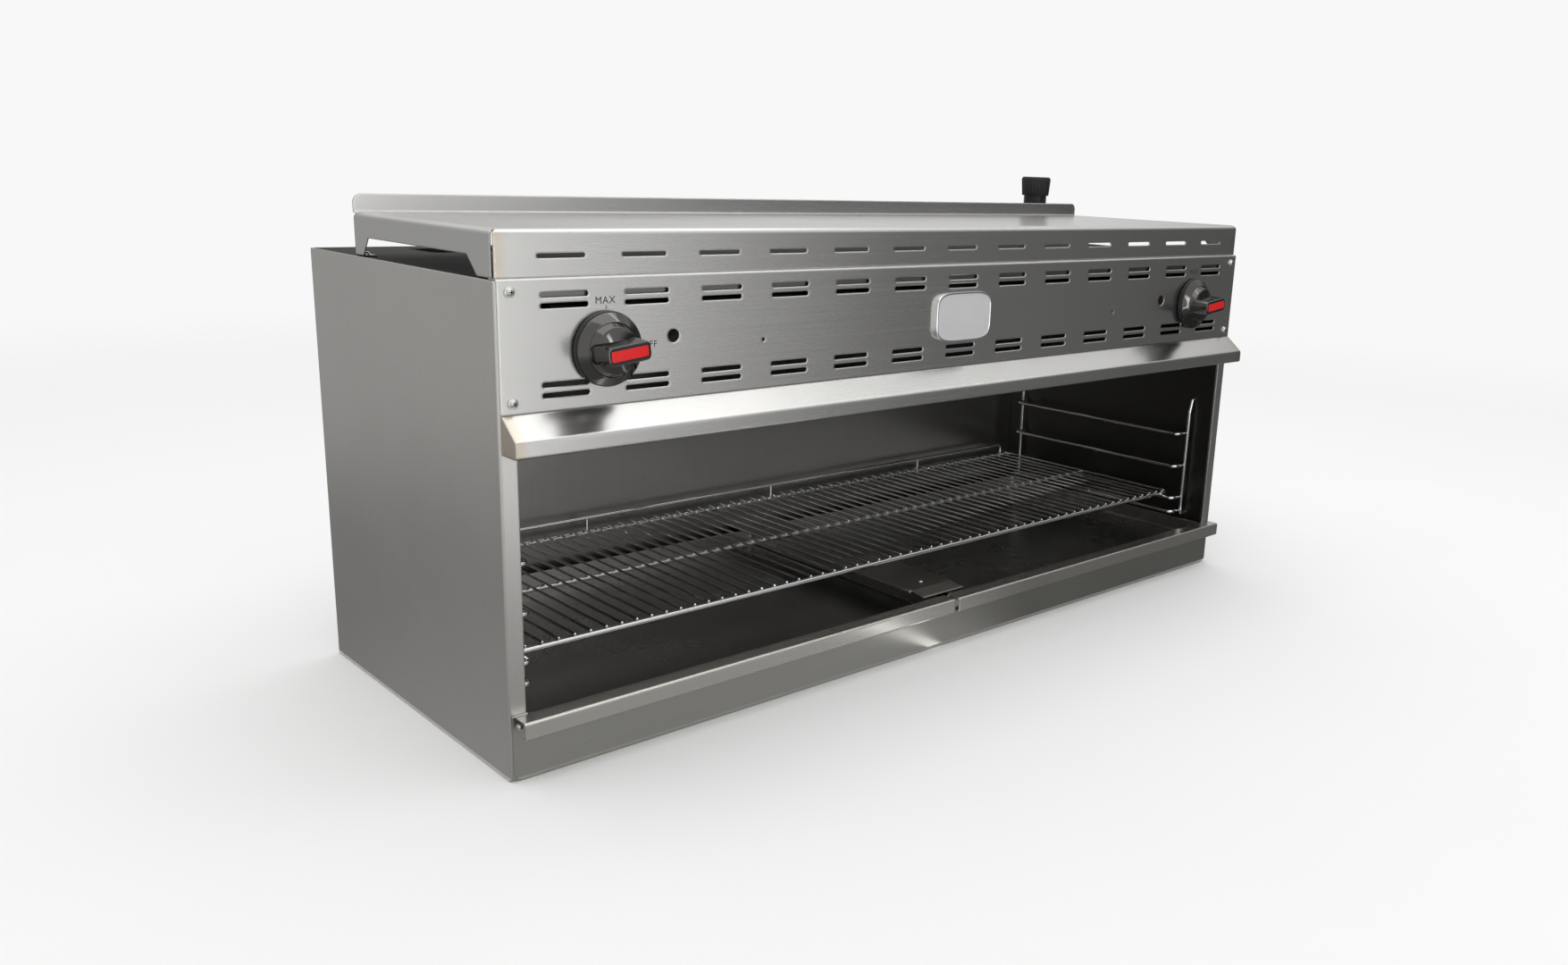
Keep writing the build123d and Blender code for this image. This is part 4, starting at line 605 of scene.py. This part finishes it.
def rackFrame(size):
    # three cross bars, and the fence that stands on the rear one
    z, top, y = size["barZ"], size["barZ"] + size["fenceHeight"], size["rear"]

    def besideWire(index, way):
        return (index - (size["count"] - 1) / 2) * size["pitch"] + way * size["aside"]

    bars = [tube([(-size["half"], depth, z), (size["half"], depth, z)], (0, 0, 1), size["barRadius"], 16)
            for depth in (size["front"], size["middle"], size["rear"])]
    left, right = (besideWire(*end) for end in size["fenceEnds"])
    route = roundedPath([(left, y, z), (left, y, top), (right, y, top), (right, y, z)], size["fenceBend"])
    posts = [tube([(besideWire(*post), y, z), (besideWire(*post), y, top)], (0, 1, 0), size["fenceRadius"])
             for post in size["fencePosts"]]
    return joined(*bars, tube(route, (0, 1, 0), size["fenceRadius"]), *posts)


makePiece("rackWires", *joined(rackWires(rackSize), rackFrame(rackSize)), [chrome],
          "wire_rack", "chrome_wire", ["wire_rack"])


def guideWires(size, side):
    # four U-shaped rungs and two hooked uprights, mirrored for the right wall
    mirror = np.array([-side, 1, 1])
    x, front, rear = size["x"], size["front"], size["rear"]
    made = []
    for z in size["levels"]:
        route = [(x - size["past"], front, z), (size["out"], front, z),
                 (size["out"], rear, z), (x - size["past"], rear, z)]
        made.append(tube(roundedPath(route, size["bend"]) * mirror, (0, 0, 1), size["radius"]))
    reach = size["radius"] + size["uprightRadius"]
    for y in (front - reach, rear + reach):
        route = [(size["hooked"], y, size["foot"]), (x, y, size["foot"]), (x, y, size["shoulder"]),
                 (x - size["run"], y, size["hook"]), (size["hooked"], y, size["hook"])]
        made.append(tube(roundedPath(route, size["hookBend"]) * mirror, (0, 1, 0), size["uprightRadius"]))
    return joined(*made)


for side, label in sides:
    makePiece(label + "GuideWires", *guideWires(rungSize, side), [chrome],
              "cabinet", "chrome_wire", [label + "_rack_guide"])
print("rack and guides made")


# badge, cap and screws
badgeSize = {
    "width": 0.096, "height": 0.060, "depth": 0.0055, "rim": 0.0026, "recess": 0.0008, "z": 0.426,
    "power": 4.6, "count": 96, "fieldSteps": ((0.9, 0.00012), (0.6, 0.0003), (0.2, 0.0004)),
}


def cushionOutline(width, height, power, count):
    # a superellipse: x = w/2 sign(cos) |cos|^(2/n), y likewise with sin
    turn = np.linspace(0, 2 * pi, count, endpoint=False)
    wave = np.column_stack([np.cos(turn), np.sin(turn)])
    return np.sign(wave) * np.abs(wave) ** (2 / power) * (width / 2, height / 2)


def badgePlate(size):
    # walls, a rolled rim, and a field that is sunk and very slightly domed
    depth, rim = size["depth"], size["rim"]
    insets = [0.0, 0.0, 0.0003, 0.0009, rim - 0.0006, rim - 0.0001, rim]
    heights = [0.0, depth - 0.0010, depth - 0.0003, depth, depth, depth - 0.0003, depth - size["recess"]]
    outlines = [cushionOutline(size["width"] - 2 * inset, size["height"] - 2 * inset,
                               size["power"], size["count"]) for inset in insets]
    field, level = outlines[-1], heights[-1]
    for share, lift in size["fieldSteps"]:
        outlines.append(field * share)
        heights.append(level + lift)
    return stackedOutlines(outlines, heights)


points, faces = badgePlate(badgeSize)
badge = makePiece("badgePlate", seated(points, (0, panelFace, badgeSize["z"])), faces,
                  [badgeRim, badgeField], "cabinet", "badge_metal", ["emblem_plate"])
rimBands = 6
inField = np.arange(len(badge.data.polygons)) >= rimBands * badgeSize["count"]
badge.data.polygons.foreach_set("material_index", inField.astype(np.int32))

capSize = {"x": 0.548, "y": 0.133, "bottom": 0.563, "top": 0.593, "bore": 0.0187, "boreDepth": 0.0120,
           "foot": 0.0218, "head": 0.0240, "ribs": 30, "ribDepth": 0.0009}


def shippingCap(size):
    # a hollow foot, a ribbed wall that widens upwards, and a bevelled head
    bore, foot, head, low, top = (size[key] for key in ("bore", "foot", "head", "bottom", "top"))
    profile = [(bore, low + size["boreDepth"]), (bore, low), (foot, low), (foot + 0.0003, low + 0.0010),
               (head, top - 0.0045), (head - 0.0004, top - 0.0030), (head - 0.0016, top - 0.0008),
               (head - 0.0034, top), (0.00005, top)]
    points, faces = spun(profile, 180, size["ribs"], size["ribDepth"])
    return points + (size["x"], size["y"], 0), faces


makePiece("shippingCap", *shippingCap(capSize), [blackPlastic], "cabinet", "black_plastic", ["inlet_cap"])

screwSize = {"headRise": 0.0024, "washer": 0.0013, "recessShadeLift": 0.00003, "firstTurn": 0.5, "sets": [
    ("panelScrews", "control_panel_screws", (0, -1, 0), 0.0054, 0.0040,
     [(side * 0.5951, panelFace, z) for side in (-1, 1) for z in (0.3755, 0.4768)]),
    ("lowerScrews", "lower_panel_screws", (0, -1, 0), 0.0042, 0.0032,
     [(side * 0.5984, -0.219, 0.057) for side in (-1, 1)]),
    ("coverScrews", "top_cover_screws", (0, 0, 1), 0.0042, 0.0032,
     [(side * 0.5996, y, 0.4885) for side in (-1, 1) for y in (-0.197, 0.0845)]),
]}


def panScrew(washer, head, rise, thickness):
    # a washer with a rolled edge and a head that falls off as a cosine
    part = np.linspace(0, 1, 7) * pi / 2
    roll = 0.0003
    dome = np.column_stack([head * np.cos(part) + 0.00002, thickness + rise * np.sin(part) ** 0.8])
    profile = np.concatenate([[(washer, 0.0), (washer, thickness - roll), (washer - roll, thickness),
                               (head + 0.0001, thickness)], dome])
    return spun(profile, 28)


def crossSlotShade(head, height):
    # two crossed bars that lie just over the head, painted dark as the shade inside a driver recess
    long, wide = head * 0.55, head * 0.13
    bar = np.array([(-long, -wide, 0), (long, -wide, 0), (long, wide, 0), (-long, wide, 0)])
    other = bar[:, [1, 0, 2]][::-1]
    return np.concatenate([bar, other]) + (0, 0, height), [[0, 1, 2, 3], [4, 5, 6, 7]]


for name, node, outward, washer, head, places in screwSize["sets"]:
    rise, thickness = screwSize["headRise"], screwSize["washer"]
    screw = panScrew(washer, head, rise, thickness)
    cross = crossSlotShade(head, thickness + rise + screwSize["recessShadeLift"])
    for (points, faces), finish, suffix, stands in (
        (screw, zinc, "", [node]),
        # the driver recess is a flat dark cross of painted shade
        (cross, darkPrintAndRecessShade, "RecessShade", []),
    ):
        copies = [(seated(points, place, outward, tilt=screwSize["firstTurn"] + index), faces)
                  for index, place in enumerate(places)]
        makePiece(name + suffix, *joined(*copies), [finish], "cabinet", "zinc_steel", stands)
print("badge, cap and screws made")


# studio
studioTones = [       # degrees from the front towards the right, and how bright it is there
    (-180, 0.38), (-155, 0.42), (-118, 0.5), (-75, 0.95), (-8, 1.0), (-7, 6.0), (-2, 6.0), (-1, 1.0),
    (10, 1.0), (20, 0.7), (29, 0.36), (39, 0.13), (49, 0.18), (60, 0.11), (78, 0.14), (97, 0.34),
    (118, 0.72), (145, 0.75), (180, 0.38),
]
studioSize = {
    "skyLight": 0.82, "floorHalf": 40.0, "floorTones": (0.90, 0.92), "floorFade": (1.4, 4.0),
    "cardRadius": 2.2, "cardHeight": 1.6, "cardFade": 0.6, "cardHole": 0.05, "cardLift": 0.004,
    "matStart": 1.0, "matShare": 0.25, "matTone": 0.12,
    "strip": ((-1.5, -0.70), (2.2, -0.61), 2.0), "stripTone": 4.0,
}


def toneAround(finish):
    # the studio's brightness by the direction from the origin
    angle = finish.axis("X").combine("ARCTAN2", finish.axis("X"), 0 - finish.axis("Y"))
    stops = [(0.5 + turn / 360, tone) for turn, tone in studioTones]
    ramp = finish.node("ShaderNodeValToRGB", {"stops": stops}, {"Fac": angle * (0.5 / pi) + 0.5})
    return Value(finish, ramp.outputs["Color"])


def raysOf(finish, *kinds):
    # 1 for rays of any of these kinds
    path = finish.node("ShaderNodeLightPath").outputs
    return sum(Value(finish, path["Is " + kind + " Ray"]) for kind in kinds).atMost(1)


def studioSky(size):
    # pale to the camera and in every mirror, and a soft light for matt surfaces
    world = bpy.data.worlds.new("studioSky")
    world.use_nodes = True
    finish = Finish(world.node_tree)
    seen = raysOf(finish, "Camera", "Transmission", "Glossy")
    tone = finish.tint(seen, colour(size["skyLight"]), colour(paleTone))
    light = finish.node("ShaderNodeBackground", None, {"Color": tone, "Strength": 1.0})
    finish.node("ShaderNodeOutputWorld", None, {"Surface": light.outputs[0]})
    bpy.context.scene.world = world


def stagedSheet(name, points, faces, finish):
    made = meshObject(name, points, faces, [finish])
    return made


def paleFloor(size):
    # keeps the shadow near the object and turns into the background far from it
    finish = surface("paleFloor")
    away = finish.reach().between(*size["floorFade"])
    base = finish.tint(finish.noise(finish.place(), 3.0), *(colour(tone) for tone in size["floorTones"]))
    finished(finish, {"Base Color": base, "Roughness": 0.9, "Specular IOR Level": 0.0})
    pale = finish.node("ShaderNodeEmission", None, {"Color": colour(paleTone), "Strength": 1.0})
    blend = finish.node("ShaderNodeMixShader", None, {
        0: away * raysOf(finish, "Camera", "Glossy"), 1: finish.shader.outputs[0], 2: pale.outputs[0]})
    finish.feed(finish.output.inputs["Surface"], blend.outputs[0])
    half = size["floorHalf"]
    stagedSheet("floor", [(-half, -half, 0), (half, -half, 0), (half, half, 0), (-half, half, 0)],
                [[0, 1, 2, 3]], finish.material)


def mirrorCards(size):
    # shaded cards round the object that only its reflections show: a wall, a mat and a strip above
    finish = surface("mirrorCards")
    around = toneAround(finish)
    radius, height = size["cardRadius"], size["cardHeight"]
    outward = finish.reach().between(size["matStart"], radius)
    mat = finish.tint(outward, around * size["matShare"] + size["matTone"], around)
    tone = finish.tint(finish.axis("Z").between(height * size["cardFade"], height), mat, colour(paleTone))
    finished(finish, {"Base Color": colour(0), "Specular IOR Level": 0.0, "Emission Color": tone,
                      "Emission Strength": 1.0})
    turn = np.linspace(0, 2 * pi, 72, endpoint=False)
    circle = np.column_stack([np.cos(turn), np.sin(turn)])
    rings = ringsAt([circle * size["cardHole"], circle * radius, circle * radius],
                    [size["cardLift"], size["cardLift"], height])
    cards = stagedSheet("mirrorCards", np.concatenate(rings), gridQuads(3, 72), finish.material)
    strip = surface("stripCard")
    finished(strip, {"Base Color": colour(0), "Emission Color": colour(1.0),
                     "Emission Strength": size["stripTone"]})
    (left, front), (right, back), z = size["strip"]
    corners = [(left, front, z), (left, back, z), (right, back, z), (right, front, z)]
    above = stagedSheet("stripCard", corners, [[0, 1, 2, 3]], strip.material)
    for card in (cards, above):
        for rays in ("camera", "diffuse", "shadow", "transmission"):
            setattr(card, "visible_" + rays, False)


def softLight(name, place, target, size, power):
    lamp = bpy.data.lights.new(name, "AREA")
    lamp.shape, lamp.size, lamp.size_y, lamp.energy = "RECTANGLE", size[0], size[1], power
    holder = bpy.data.objects.new(name, lamp)
    bpy.context.scene.collection.objects.link(holder)
    holder.location = place
    holder.rotation_euler = (Vector(target) - Vector(place)).to_track_quat("-Z", "Y").to_euler()


studioSky(studioSize)
paleFloor(studioSize)
mirrorCards(studioSize)
softLight("overheadSoftbox", place=(0.0, -0.3, 3.2), target=(0, 0, 0.3), size=(4.0, 3.0), power=40)

cameraSet = {
    "place": (-1.13786, -1.27019, 0.59402), "turn": (75.841, -2.054, -42.978),
    "lens": 29.048, "sensor": 36.0, "shift": (-0.0553, 0.0044), "nearest": 0.02,
}
lens = bpy.data.cameras.new("camera")
lens.lens, lens.sensor_width, lens.sensor_fit = cameraSet["lens"], cameraSet["sensor"], "HORIZONTAL"
lens.shift_x, lens.shift_y = cameraSet["shift"]
lens.clip_start = cameraSet["nearest"]
camera = bpy.data.objects.new("camera", lens)
bpy.context.scene.collection.objects.link(camera)
camera.location = cameraSet["place"]
camera.rotation_euler = [radians(turn) for turn in cameraSet["turn"]]
bpy.context.scene.camera = camera
bpy.context.scene.view_settings.view_transform = "Standard"
print("studio set")

bpy.context.view_layer.update()
